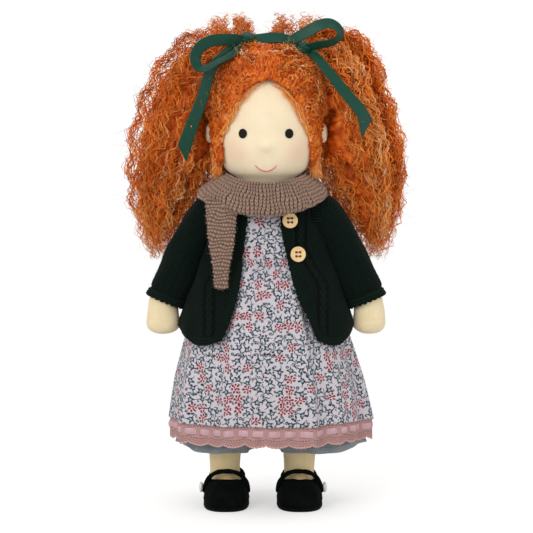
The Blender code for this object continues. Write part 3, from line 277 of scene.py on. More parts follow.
def clothSpot(tree):
    return addNode(tree, "UVMap", {"uv_map": "clothMm"}).outputs[0]


def readShade(tree, name):
    return addNode(tree, "Attribute", {"attribute_name": name}).outputs["Fac"]


def grain(tree, spot, scale, detail, roughness=0.5):
    settings = {"Scale": scale, "Detail": detail, "Roughness": roughness}
    return addNode(tree, "TexNoise", settings, {"Vector": spot}).outputs[0]


def threadsOf(tree, spot, way, pitch, **settings):
    # Threads or ribs side by side along X, Y or Z
    settings = {"bands_direction": way, "Scale": 1 / pitch, **settings}
    return addNode(tree, "TexWave", settings, {"Vector": spot}).outputs["Fac"]


def paintBase(tree, shader, colour):
    tree.links.new(colour, shader.inputs["Base Color"])


def newMaterial(name, base, roughness, **sockets):
    finish = bpy.data.materials.new(name)
    finish.use_nodes = True
    shader = finish.node_tree.nodes["Principled BSDF"]
    shader.inputs["Base Color"].default_value = hexColour(base)
    shader.inputs["Roughness"].default_value = roughness
    for key, value in sockets.items():
        shader.inputs[key.replace("_", " ")].default_value = value
    return finish, finish.node_tree, shader


def mottle(tree, shader, light, dark, size, amount=1.0):
    # Uneven dye: two shades of the same colour in soft patches of a real size
    patches = grain(tree, objectSpot(tree), 1 / size, 3.0, 0.6)
    share = addNode(tree, "MapRange", {"From Min": 0.3, "From Max": 0.7, "To Max": amount}, {0: patches}).outputs[0]
    shade = mixColours(tree, light, dark, share)
    paintBase(tree, shader, shade)
    return shade


def addBump(tree, shader, height, distance, strength=1.0):
    bump = addNode(tree, "Bump", {"Distance": distance, "Strength": strength}, {"Height": height})
    tree.links.new(bump.outputs[0], shader.inputs["Normal"])
    return bump


# Camera, studio and floor: the lens stands level with the doll's face and looks down a little
studio = {
    "distance": 1.100, "height": 0.230, "aim": 0.1552, "lens": 114.2, "worldStrength": 0.64,
    "keyPower": 6.6, "fillPower": 2.8, "topPower": 2.6, "rimPower": 1.4,
}
white = (1, 1, 1, 1)


def aimAt(thing, target):
    direction = np.array(target, float) - np.array(thing.location)
    flat = math.hypot(direction[0], direction[1])
    thing.rotation_euler = (math.atan2(flat, -direction[2]), 0, math.atan2(-direction[0], direction[1]))


def addArea(name, place, size, power, target=(0, 0, 0.15)):
    lamp = bpy.data.lights.new(name, "AREA")
    lamp.shape = "DISK"
    lamp.size = size
    lamp.energy = power
    holder = bpy.data.objects.new(name, lamp)
    holder.location = place
    bpy.context.scene.collection.objects.link(holder)
    aimAt(holder, target)


def buildStudio():
    scene = bpy.context.scene
    scene.view_settings.view_transform = "Standard"
    camera = bpy.data.objects.new("camera", bpy.data.cameras.new("camera"))
    camera.location = (0.0003, -studio["distance"], studio["height"])
    camera.data.lens = studio["lens"]
    camera.data.sensor_width = 36
    camera.data.clip_start = 0.05
    scene.collection.objects.link(camera)
    aimAt(camera, (0.0003, 0, studio["aim"]))
    scene.camera = camera
    addArea("keyLight", (-0.75, -1.1, 0.80), 0.8, studio["keyPower"])
    addArea("fillLight", (0.95, -0.95, 0.45), 1.0, studio["fillPower"])
    addArea("topLight", (0.0, 0.1, 1.3), 1.1, studio["topPower"])
    addArea("rimLight", (0.5, 1.0, 0.7), 0.8, studio["rimPower"])
    world = bpy.data.worlds.new("softWhiteRoom")
    scene.world = world
    world.use_nodes = True
    tree = world.node_tree
    tree.nodes.clear()
    rays = addNode(tree, "LightPath").outputs
    seen = combine(tree, "MAXIMUM", rays["Is Camera Ray"], rays["Is Transmission Ray"])
    light = addNode(tree, "Background", {"Color": white, "Strength": studio["worldStrength"]})
    backdrop = addNode(tree, "Background", {"Color": white, "Strength": 1.0})
    mixed = addNode(tree, "MixShader", None, {0: seen, 1: light.outputs[0], 2: backdrop.outputs[0]})
    addNode(tree, "OutputWorld", None, {0: mixed.outputs[0]})
    corners = np.array([(-3, -1.6, 0), (3, -1.6, 0), (3, 4.5, 0), (-3, 4.5, 0)], float)
    floorMesh = buildMesh("floor", corners, np.array([[0, 1, 2, 3]]))
    paper, tree, shader = newMaterial("whiteStudioPaper", "#d8d7d5", 0.9)
    # Round the doll the paper takes its soft shadow; further off it is as white as the backdrop
    seen = addNode(tree, "LightPath").outputs["Is Camera Ray"]
    glow, none, bright = (
        addNode(tree, "Emission", {"Color": white, "Strength": strength}).outputs[0] for strength in (0.46, 0.0, 1.0)
    )
    lit = addNode(tree, "MixShader", None, {0: seen, 1: none, 2: glow})
    both = addNode(tree, "AddShader", None, {0: shader.outputs[0], 1: lit.outputs[0]})
    away = addNode(tree, "VectorMath", {"operation": "LENGTH"}, {0: objectSpot(tree)})
    fade = addNode(
        tree, "MapRange", {"interpolation_type": "SMOOTHSTEP", "From Min": 0.10, "From Max": 0.42},
        {0: away.outputs["Value"]},
    )
    share = combine(tree, "MULTIPLY", fade.outputs[0], seen)
    paled = addNode(tree, "MixShader", None, {0: share, 1: both.outputs[0], 2: bright})
    tree.links.new(paled.outputs[0], tree.nodes["Material Output"].inputs["Surface"])
    floor = bpy.data.objects.new("floor", floorMesh)
    floorMesh.materials.append(paper)
    scene.collection.objects.link(floor)


buildStudio()
print("studio built")


# Doll skin: fine cotton stockinette, pulled tight over wool; matte, with a faint knitted grain and soft fuzz
cheek = {"place": (0.0205, -0.0255, 0.2305), "radius": 0.0135, "full": 0.002, "share": 0.34, "pink": "#f6ba9e"}


def makeSkin(name, base, blush=False):
    skin, tree, shader = newMaterial(
        name, base, 0.82, Sheen_Weight=0.25, Sheen_Roughness=0.6, Subsurface_Weight=0.06, Subsurface_Scale=0.004
    )
    spot = objectSpot(tree)
    colour = mottle(tree, shader, base, "#f3dcb2" if blush else "#e6cf9c", 0.012, amount=0.4)
    if blush:
        for sign in (-1, 1):
            middle = np.array(cheek["place"]) * (sign, 1, 1)
            away = addNode(tree, "VectorMath", {"operation": "DISTANCE", 1: middle}, {0: spot})
            soft = addNode(
                tree, "MapRange",
                {
                    "interpolation_type": "SMOOTHSTEP", "From Min": cheek["radius"], "From Max": cheek["full"],
                    "To Max": cheek["share"],
                },
                {0: away.outputs["Value"]},
            )
            colour = mixColours(tree, colour, cheek["pink"], soft.outputs[0])
        paintBase(tree, shader, colour)
    # Wales of the knit are 0.6 mm apart on the real thing; 0.9 mm here, so that they show
    wales = threadsOf(tree, spot, "X", 0.0057, Distortion=1.2, Detail=1.0)
    height = combine(tree, "MULTIPLY_ADD", wales, 0.45, grain(tree, spot, 900.0, 2.0))
    addBump(tree, shader, height, 0.00016, 0.7)
    return skin


faceSkin = makeSkin("stockinetteFace", "#ffecca", blush=True)
limbSkin = makeSkin("stockinetteLimbs", "#fbe8be")
# The legs have their own copy of the skin; its base is made bright to offset the shade that the skirt casts on them:
# painted light
paintedLightLegSkin = makeSkin("stockinetteLegsPaintedLight", "#ffe6b0")

head = {
    "centre": 251.0, "halfWidth": 33.8, "halfDepth": 33.0, "halfHeight": 40.2, "power": 2.2, "cheekPower": 2.9,
    "neckRadius": 12.5, "neckSeat": 201.4, "noseHeight": 233.0, "eyeX": 14.6, "eyeHeight": 241.3,
    "eyeHalfWidth": 2.3, "eyeHalfHeight": 2.75, "mouthHeight": 221.3, "mouthHalfWidth": 6.8, "mouthSag": 3.8,
    "cheekX": 19, "cheekHeight": 230, "cheekOut": 1.3, "eyeIn": 0.7, "mouthEndX": 8.2, "mouthEndHeight": 221.8,
    "mouthIn": 0.35, "noseOut": 2.3, "chinHeight": 214, "chinOut": 2.4,
}
# The right ear is a little nearer to the head; the room round an ear stays free of yarn
ear = {
    "x": {"right": 35.8, "left": 36.6}, "y": -0.5, "z": 241.8, "reach": 3.8, "halfDepth": 4.6, "halfHeight": 6.3,
    "dish": 1.1, "roomX": 46, "roomZ": 242, "roomHigh": 17, "backY": 6.5,
}


def headLevel(z, growth=0.0):
    # The cheeks stay fuller down to the chin than the brow does up to the crown
    share = np.clip(np.abs((z - head["centre"]) / (head["halfHeight"] + growth)), 0, 1)
    power = np.where(z < head["centre"], head["cheekPower"], head["power"])
    return (1 - share**power) ** (1 / power)


def shapeFace(points):
    # Cheeks, the tied-in eye line, the bead under the nose and the drawn-in mouth
    x, y, z = points[..., 0], points[..., 1], points[..., 2]
    front = np.clip(-y / head["halfDepth"], 0, 1)
    push = np.zeros(x.shape)
    for sign in (-1, 1):
        push += head["cheekOut"] * np.exp(-((x - sign * head["cheekX"]) ** 2 + (z - head["cheekHeight"]) ** 2) / 95)
        push -= head["eyeIn"] * np.exp(
            -((x - sign * head["eyeX"]) ** 2 / 60 + (z - head["eyeHeight"] - 1) ** 2 / 22)
        )
        push -= head["mouthIn"] * np.exp(
            -((x - sign * head["mouthEndX"]) ** 2 + (z - head["mouthEndHeight"]) ** 2) / 5
        )
    push += head["noseOut"] * np.exp(-(x**2 / 16 + (z - head["noseHeight"]) ** 2 / 13))
    push += head["chinOut"] * np.exp(-(x**2 / 170 + (z - head["chinHeight"]) ** 2 / 40))
    outward = unit(np.stack([x / head["halfWidth"] ** 2, y / head["halfDepth"] ** 2, 0 * z], -1))
    return points + outward * (push * front**2)[..., None]


def faceY(x, z, growth=0.0):
    width = (head["halfWidth"] + growth) * headLevel(z, growth)
    depth = (head["halfDepth"] + growth) * headLevel(z, growth)
    flat = np.stack([x, -depth * np.sqrt(np.clip(1 - (x / width) ** 2, 0, 1)), z], -1)
    return shapeFace(flat)[..., 1]


def buildHead():
    heights = head["centre"] + head["halfHeight"] * np.cos(np.linspace(0.03, 2.72, 100))
    rows = [(z, *(size * headLevel(z) for size in (head["halfWidth"], head["halfDepth"]))) for z in heights]
    low = rows[-1]
    for share in np.linspace(0.15, 1, 8):  # under the chin the skin runs in to the neck
        ease = math.sin(share * math.pi / 2)
        z = low[0] + (head["neckSeat"] - low[0]) * share**1.3
        rows.append((z, *(size + (head["neckRadius"] - size) * ease for size in low[1:])))
    rows = np.array(rows)
    turns = np.linspace(0, math.tau, 160, endpoint=False)
    x = rows[:, 1:2] * np.cos(turns)
    y = rows[:, 2:3] * np.sin(turns)
    grid = shapeFace(np.stack([x, y, np.broadcast_to(rows[:, :1], x.shape)], -1))
    ringBody("head_skin", grid, faceSkin, "head", ["head"], flip=True)


def buildEyes():
    black, tree, shader = newMaterial("blackSatinStitch", "#060505", 0.55, Specular_IOR_Level=0.25)
    addBump(tree, shader, threadsOf(tree, objectSpot(tree), "Z", 0.0025, Distortion=0.6), 0.00012)
    turns = np.linspace(0, math.tau, 40, endpoint=False)
    shares = np.linspace(0.05, 1, 12)[:, None]
    faces = gridFaces(len(shares), len(turns), closed=True)
    for side, sign in sides.items():
        x = sign * head["eyeX"] + head["eyeHalfWidth"] * shares * np.cos(turns)
        z = head["eyeHeight"] + head["eyeHalfHeight"] * shares * np.sin(turns)
        y = faceY(x, z) - 0.5 * np.sqrt(np.clip(1 - shares**2, 0, 1)) - 0.06
        points = np.stack([x, y, z], -1).reshape(-1, 3) * mm
        mesh = buildMesh(f"eye_stitches_{side}", points, faces, np.arange(len(turns))[None, ::-1])
        thicken(addPiece(f"eye_stitches_{side}", mesh, black, "head", [f"eye_{side}"]), 0.0005)


def buildMouth():
    pink, tree, shader = newMaterial("pinkStemStitch", "#e07f8a", 0.6, Sheen_Weight=0.2)
    mottle(tree, shader, "#e8909a", "#cf5f6e", 0.0012)
    shares = np.linspace(-1, 1, 61)
    x = head["mouthHalfWidth"] * shares
    z = head["mouthHeight"] - head["mouthSag"] * (1 - np.abs(shares) ** 2.2)
    path = np.stack([x, faceY(x, z) - 0.1, z], -1)
    radius = 0.48 * (1 - 0.45 * np.abs(shares) ** 4) * (1 + 0.16 * np.sin(np.arange(61) * math.tau / 4))
    points, groups = tubes(path[None], radius[None], 10)
    mesh = buildMesh("mouth_stitches", points * mm, *groups)
    addPiece("mouth_stitches", mesh, pink, "head", ["mouth"])


def buildEars():
    turns = np.linspace(0, math.tau, 36, endpoint=False)
    rise = np.linspace(0.04, math.pi - 0.04, 24)[:, None]
    for side, sign in sides.items():
        x = sign * (ear["x"][side] + ear["reach"] * np.sin(rise) * np.cos(turns))
        y = ear["y"] + ear["halfDepth"] * np.sin(rise) * np.sin(turns)
        z = ear["z"] + ear["halfHeight"] * np.cos(rise) + 0 * turns
        dish = np.exp(-((y + 1.5) ** 2 / 5 + (z - ear["roomZ"]) ** 2 / 10)) * (np.cos(turns) > 0)
        grid = np.stack([x - sign * ear["dish"] * dish, y, z], -1)
        piece = ringBody(
            f"ear_bead_{side}", grid, faceSkin, "head", [f"ear_{side}"], flip=sign > 0
        )


buildHead()
buildEyes()
buildMouth()
buildEars()
print("head and face built")


# Mohair: crimped copper yarn with a dull shine, uneven dye and pale stray fibres
def makeMohair(name, dark, middle, light, pale):
    mohair, tree, shader = newMaterial(name, middle, 0.55, Specular_IOR_Level=0.22)
    ramp = addNode(tree, "ValToRGB", None, {0: readShade(tree, "yarnTint")})
    stops = ramp.color_ramp.elements
    stops[0].color = hexColour(dark)
    stops[1].color = hexColour(pale)
    for at, code in ((0.38, middle), (0.78, light)):
        stops.new(at).color = hexColour(code)
    paintBase(tree, shader, ramp.outputs[0])
    return mohair


mohair = makeMohair("copperMohair", "#a33401", "#f47a1c", "#ffb25c", "#ffe0bc")

bunch = {
    "outer": [
        (31, 283), (24, 292), (26, 302), (40, 309), (55, 303), (68, 290), (77, 274), (84, 255), (89, 235), (90.5, 213),
        (88.5, 192), (82, 172), (75, 156),
    ],
    "inner": [
        (31, 281), (28, 275), (26, 267), (26, 257), (27, 246), (29, 236), (31, 226), (34, 216), (39, 205), (46, 194),
        (54, 183), (62, 172), (68, 161),
    ],
    "depth": [  # height, middle and half depth
        (148, 28.8, 5), (155, 28.8, 6), (165, 28.8, 10.4), (178, 28.8, 12.8), (193, 27, 14), (209, 21, 16),
        (227, 10, 22), (245, 7, 25), (263, 6.4, 25), (280, 10, 20), (294, 13.6, 17), (306, 14.4, 14), (319, 14.4, 6),
    ],
    "locks": 70, "yarnsInLock": 8, "points": 70, "lockRadius": 4.3, "crimp": 1.55, "crimpLength": 7.6, "frizz": 0.42,
    "wave": 2.8, "waveLength": 24.0, "yarnRadius": 0.34, "strays": 30, "tufts": 190, "tuftLocks": 26,
    "fibres": 2400, "raised": 5.5, "core": 0.62,
}
cap = {
    "sideThickness": 4.0, "crownThickness": 8.5, "power": 2.6, "napeZ": 220.0, "openingTop": 56.0,
    "openingHalf": 28.7, "earRoom": 30.0,
}


def capSizes(growth=0.0):
    return (
        head["halfWidth"] + cap["sideThickness"] + growth, head["halfDepth"] + cap["sideThickness"] + growth,
        head["halfHeight"] + cap["crownThickness"] + growth,
    )


def capHeight(x, y):
    width, depth, height = capSizes()
    rise = np.clip(1 - np.hypot(x / width, y / depth) ** cap["power"], 0, 1) ** (1 / cap["power"])
    return head["centre"] + height * rise


def behindEar(x, y, z):
    # Yarn beside the head lies behind the ear
    beside = np.clip((ear["roomX"] - x) / 4, 0, 1) * np.clip((ear["roomHigh"] - np.abs(z - ear["roomZ"])) / 6, 0, 1)
    return y + beside * np.maximum(ear["backY"] - y, 0)


def clearOfHead(path):
    # Points inside the cap of hair move out to the sides and the back
    width, depth, height = capSizes(0.6)
    x, y, z = path.T
    y = behindEar(x, y, z)
    flat = np.hypot(x / width, y / depth)
    upright = np.clip(np.abs(z - head["centre"]) / height, 0, 1)
    least = (1 - upright ** cap["power"]) ** (1 / cap["power"])
    grow = np.clip(least / np.maximum(flat, 0.05), 1, 2.2)
    return np.stack([x * grow, y * grow, z], -1)


def bunchPaths(sign, seed):
    rng = np.random.default_rng(seed)
    t = np.linspace(0, 1, bunch["points"])
    heights, middles, halves = np.array(bunch["depth"], float).T
    outer = np.array(bunch["outer"], float)
    if sign > 0:
        # This bunch is brushed up higher than the other
        outer = outer + bunch["raised"] * np.exp(-((outer[:, 1:] - 298) / 14) ** 2) * (1.0, 0.8)
    paths, radii, tints, outside = [], [], [], []
    angle = rng.uniform(0, math.tau, bunch["locks"] + bunch["strays"])
    reach = np.sqrt(rng.uniform(0.02, 1, len(angle)))
    reach[bunch["locks"]:] = rng.uniform(0.90, 1.05, bunch["strays"])
    for lock, (a, r) in enumerate(zip(angle, reach)):
        stray = lock >= bunch["locks"]
        layer, depth = (1 + r * math.cos(a)) / 2, r * math.sin(a)
        yarns = 2 if stray else bunch["yarnsInLock"]
        lockTint = rng.normal(0.44, 0.11)
        wavePhase, waveTurn, lockPhase, lockDrift = rng.uniform(0, math.tau, 4)
        lockPitch = bunch["crimpLength"] * rng.uniform(0.8, 1.3)
        for _ in range(yarns):
            end = rng.uniform(0.80, 1.0) if rng.random() < 0.75 else rng.uniform(0.5, 0.85)
            s = t * end
            flat = curveThrough(bunch["inner"], s) * (1 - layer) + curveThrough(outer, s) * layer
            root = np.clip(s / 0.12, 0, 1)
            y = np.interp(flat[:, 1], heights, middles) + depth * np.interp(flat[:, 1], heights, halves)
            y = 6 + (y - 6) * root
            path = np.stack([flat[:, 0], y, flat[:, 1]], -1)
            length = np.concatenate([[0], np.cumsum(np.linalg.norm(np.diff(path, axis=0), axis=1))])
            along = unit(np.gradient(path, axis=0))
            sideways = unit(np.cross(along, (0, 1, 0)))
            other = np.cross(along, sideways)
            wave = bunch["wave"] * root * np.sin(length * math.tau / bunch["waveLength"] + wavePhase)
            path = path + sideways * (wave * math.cos(waveTurn))[:, None]
            path = path + other * (wave * math.sin(waveTurn))[:, None]
            spread = bunch["lockRadius"] * (0.35 + 0.65 * root) * (1 - 0.45 * s) * math.sqrt(rng.uniform(0, 1))
            turn = rng.uniform(0, math.tau) + s * rng.uniform(-3, 3)
            path = path + sideways * (spread * np.cos(turn))[:, None]
            path = path + other * (spread * np.sin(turn))[:, None]
            path = clearOfHead(path)
            pitch = lockPitch * rng.uniform(0.96, 1.05)
            crimp = bunch["crimp"] * rng.uniform(0.6, 1.35) * (0.5 + 0.5 * root)
            phase = lockPhase + rng.normal(0, 0.55)
            drift = 1.6 * np.sin(length / 23 + lockDrift)
            path = path + sideways * (crimp * np.sin(length * math.tau / pitch + phase + drift))[:, None]
            path = path + other * (crimp * np.cos(length * math.tau / pitch * 0.87 + phase * 1.7 + drift))[:, None]
            path = path + rng.normal(0, bunch["frizz"], path.shape) * root[:, None]
            path[:, 1] = behindEar(*path.T)
            thin = rng.uniform(0.62, 1.25) * (0.6 if stray else 1)
            radii.append(bunch["yarnRadius"] * thin * (0.35 + 0.65 * np.clip((1 - t) / 0.12, 0, 1)))
            pale = 0.32 if rng.random() < 0.05 else 0
            shade = lockTint + rng.normal(0, 0.10) + pale + 0.12 * s + 0.13 * np.sin(length / 9 + phase)
            paths.append(path * (sign, 1, 1))
            tints.append(np.clip(shade + rng.normal(0, 0.06, len(t)), 0.02, 1))
            outside.append(r > 0.55)
    return np.array(paths), np.array(radii), np.array(tints), np.array(outside)


def tuftPaths(sign, seed):
    # Short locks that stand up behind the ribbon, with a parting in the middle
    rng = np.random.default_rng(seed)
    count, steps, locks = bunch["tufts"], 24, bunch["tuftLocks"]
    t = np.linspace(0, 1, steps)
    lock = rng.integers(0, locks, count)
    lockX, lockY = rng.uniform(2.5, 34, locks)[lock], rng.uniform(2, 17, locks)[lock]
    rootX, rootY = lockX + rng.normal(0, 1.5, count), lockY + rng.normal(0, 1.5, count)
    rootZ = capHeight(rootX, rootY) - 1.5
    topZ = rng.uniform(304, 319, locks)[lock] + rng.normal(0, 2, count)
    topZ = np.minimum(topZ, 298 + 2.6 * np.maximum(rootX, 1.5))
    topX = rootX + rng.uniform(-2, 9, locks)[lock] + rng.normal(0, 1.5, count)
    curve = np.sin(t * math.pi / 2)
    x = rootX[:, None] + (topX - rootX)[:, None] * t**1.5
    y = rootY[:, None] + rng.normal(0, 2.5, count)[:, None] * t
    z = rootZ[:, None] + np.maximum(topZ - rootZ, 4)[:, None] * curve
    phase = rng.uniform(0, math.tau, count)[:, None]
    pitch = rng.uniform(4.0, 7.5, count)[:, None]
    run = t[None] * 22
    x = x + 1.3 * np.sin(run * math.tau / pitch + phase)
    y = y + 1.3 * np.cos(run * math.tau / pitch * 0.9 + phase)
    paths = np.stack([x, y, z], -1) + rng.normal(0, 0.28, (count, steps, 3))
    radii = 0.30 * rng.uniform(0.6, 1.2, count)[:, None] * (0.3 + 0.7 * np.clip((1 - t) / 0.25, 0, 1))[None]
    tints = np.clip(rng.normal(0.52, 0.14, count)[:, None] + rng.normal(0, 0.06, (count, steps)), 0, 1)
    return paths * (sign, 1, 1), radii, tints


def addYarns(name, paths, radii, tints, finish=mohair, nodes=(), body="head"):
    points, groups = tubes(paths, radii, 3)
    mesh = buildMesh(name, points * mm, *groups)
    addShade(mesh, "yarnTint", np.repeat(tints.ravel(), 3))
    return addPiece(name, mesh, finish, body, nodes)


def addHairFuzz(name, paths, count, length, seed, body="head", tone=0.66, steps=7, radius=0.085):
    # Fine broken fibres that make the frizz
    rng = np.random.default_rng(seed)
    r = rng.integers(0, paths.shape[0], count)
    c = rng.integers(paths.shape[1] // 8, paths.shape[1], count)
    base = paths[r, c]
    t = np.linspace(0, 1, steps)
    along = t[None, :, None]
    lean = unit(rng.normal(size=(count, 3)))
    bend = rng.normal(size=(count, 3)) * 0.5
    reach = (length * rng.uniform(0.4, 1.4, count))[:, None, None]
    phase = rng.uniform(0, math.tau, count)[:, None, None]
    wiggle = unit(rng.normal(size=(count, 3)))[:, None] * np.sin(along * 11 + phase) * 0.15
    lines = base[:, None] + (lean[:, None] * along + bend[:, None] * along**2 + wiggle) * reach
    radii = radius * (1 - 0.7 * t)[None] * rng.uniform(0.6, 1.3, count)[:, None]
    tints = np.repeat(np.clip(rng.normal(tone, 0.15, count), 0.1, 1)[:, None], steps, 1)
    return addYarns(name, lines, radii, tints, body=body)


def hangFromHead(piece):
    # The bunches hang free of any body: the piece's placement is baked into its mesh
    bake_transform(piece)


def buildBunches():
    for side, sign in sides.items():
        seed = 11 if sign < 0 else 29
        paths, radii, tints, outside = bunchPaths(sign, seed)
        half = len(paths) // 2
        front = addYarns(
            f"curls_front_{side}", paths[:half], radii[:half], tints[:half], nodes=[f"hair_bunch_{side}"], body=None
        )
        back = addYarns(f"curls_back_{side}", paths[half:], radii[half:], tints[half:], body=None)
        frizz = addHairFuzz(f"bunch_frizz_{side}", paths[outside], bunch["fibres"], 6.5, seed + 1, body=None)
        for piece in (front, back, frizz):
            hangFromHead(piece)
        paths, radii, tints = tuftPaths(sign, seed + 2)
        addYarns(f"tufts_{side}", paths, radii, tints)
        addHairFuzz(f"tuft_frizz_{side}", paths, 700, 4.0, seed + 3)


def buildBunchCores():
    # The imported yarn in the middle of each bunch, where no light comes through; its finish is a darker copy of the
    # mohair, which is painted shade
    core = makeMohair("packedMohairPaintedShade", "#7a2701", "#cd540a", "#ec7f26", "#f0a458")
    t = np.linspace(0.10, 0.94, 90)
    turns = np.linspace(0, math.tau, 60, endpoint=False)
    heights, middles, halves = np.array(bunch["depth"], float).T
    outer, inner = curveThrough(bunch["outer"], t), curveThrough(bunch["inner"], t)
    middle = inner * 0.53 + outer * 0.47
    swell = (bunch["core"] * np.sin(np.clip((t - 0.10) / 0.84, 0, 1) * math.pi) ** 0.45)[:, None]
    half = (outer - inner) / 2 * swell
    for side, sign in sides.items():
        flat = middle[:, None] + half[:, None] * np.cos(turns)[None, :, None]
        x, z = flat[..., 0], flat[..., 1]
        y = np.interp(z, heights, middles) + swell * np.interp(z, heights, halves) * np.sin(turns)
        grid = np.stack([sign * x, behindEar(x, y, z), z], -1)
        normals = gridNormals(grid, closed=True) * sign
        lumps = 2.0 * ripple(grid * (1, 1, 0.35), 11, 5) + 0.9 * ripple(grid * (1, 1, 0.3), 4.5, 6)
        grid = grid + normals * lumps[..., None]
        tint = 0.42 + 0.30 * ripple(grid * (1, 1, 0.22), 3.2, 8) + 0.1 * ripple(grid, 14, 9)
        piece = ringBody(
            f"packed_yarn_{side}", grid, core, None, (), flip=sign < 0,
            shade=("yarnTint", np.minimum(tint, 0.95)),
        )
        hangFromHead(piece)


buildBunches()
buildBunchCores()
print("bunches built")


# The body under the clothes, in millimetres: the dress, the bloomers and the cardigan take their shapes from it
bodyShape = {
    "base": 86.0, "height": 115.0, "halfWidth": 30.0, "halfDepth": 21.0, "power": 2.6,
    "sections": [
        (0.000, 0.70, 0.66), (0.030, 0.92, 0.86), (0.090, 1.00, 0.98), (0.210, 1.00, 1.00), (0.430, 0.95, 0.95),
        (0.690, 0.97, 0.93), (0.860, 1.00, 0.86), (0.940, 0.97, 0.76), (0.978, 0.84, 0.64), (0.995, 0.58, 0.60),
        (1.000, 0.42, 0.57),
    ],
    "waist": 161.0, "skirtLength": 104.0, "hemHalfWidth": 66.5, "hemHalfDepth": 50.0,
    "skirt": [
        (0.00, 0.463, 0.43), (0.06, 0.500, 0.49), (0.14, 0.580, 0.60), (0.24, 0.655, 0.69), (0.36, 0.725, 0.76),
        (0.52, 0.815, 0.85), (0.75, 0.920, 0.94), (1.00, 1.000, 1.00),
    ],
    "clothOut": 1.5, "knitOut": 3.8,
}


def readTable(table, share, column=1, soft=0.025):
    rows = np.array(table, float).T
    taps = [np.interp(share + soft * k, rows[0], rows[column]) for k in (-1, -0.5, 0, 0.5, 1)]
    return sum(taps) / 5


def skirtShare(z):
    return np.clip((bodyShape["waist"] - z) / bodyShape["skirtLength"], 0, 1.2)


def bodySize(z, growth):
    share = (z - bodyShape["base"]) / bodyShape["height"]
    width = bodyShape["halfWidth"] * readTable(bodyShape["sections"], share, 1, 0.012)
    depth = bodyShape["halfDepth"] * readTable(bodyShape["sections"], share, 2, 0.012)
    return width + growth, depth + growth


def skirtSize(z):
    share = skirtShare(z)
    width = bodyShape["hemHalfWidth"] * readTable(bodyShape["skirt"], share, 1)
    return width, bodyShape["hemHalfDepth"] * readTable(bodyShape["skirt"], share, 2)


def ovalPoint(turn, width, depth, power):
    # A turn of 0 is the middle of the front; a quarter turn is at +X
    s, c = np.sin(turn), np.cos(turn)
    swell = swelling(s, c, power)
    return width * s * swell, -depth * c * swell


def clothFullness(z):
    return bodyShape["power"] + (2 - bodyShape["power"]) * np.clip(skirtShare(z) * 4, 0, 1)


def coatPoint(turn, z, growth):
    # The shape that the cardigan lies on: the bodice, then the gathered skirt
    high = bodySize(np.maximum(z, bodyShape["waist"] - 4), growth)
    low = skirtSize(np.minimum(z, bodyShape["waist"] + 2))
    share = skirtShare(z)
    spread = growth - bodyShape["clothOut"] + 1.8 * np.clip(0.4 + share * 5, 0, 1)
    part = easeInOut(np.clip((bodyShape["waist"] + 3 - z) / 6, 0, 1))
    width = high[0] * (1 - part) + (low[0] + spread) * part
    depth = high[1] * (1 - part) + (low[1] + spread) * part
    x, y = ovalPoint(turn, width, depth, clothFullness(z))
    return np.stack([x, y, z + 0 * x], -1)


def bakeModifiers(piece):
    # What the modifiers make becomes the piece's own mesh
    made = bpy.data.meshes.new_from_object(piece.evaluated_get(bpy.context.evaluated_depsgraph_get()))
    old = piece.data
    piece.modifiers.clear()
    piece.data = made
    bpy.data.meshes.remove(old)


def openGrid(name, grid, finish, body, nodes, across=None, along=None, thickness=0.0, offset=-1):
    rows, columns = grid.shape[:2]
    mesh = buildMesh(name, grid.reshape(-1, 3) * mm, gridFaces(rows, columns))
    if along is None:
        along, across = gridLengths(grid, 0), gridLengths(grid, 1)
    addClothMap(mesh, along, across)
    piece = addPiece(name, mesh, finish, body, nodes)
    if thickness:
        thicken(piece, thickness * mm, offset)
    return piece


# Printed cotton lawn: plain woven, matte, off-white with a lilac cast, printed with small flowers and berries
printing = {
    "cell": 6.5, "budCell": 3.7, "berryShare": 0.70, "blue": "#1d3542", "berry": "#8f1b21", "petal": "#aab4bd",
    "bend": 1.6,
}


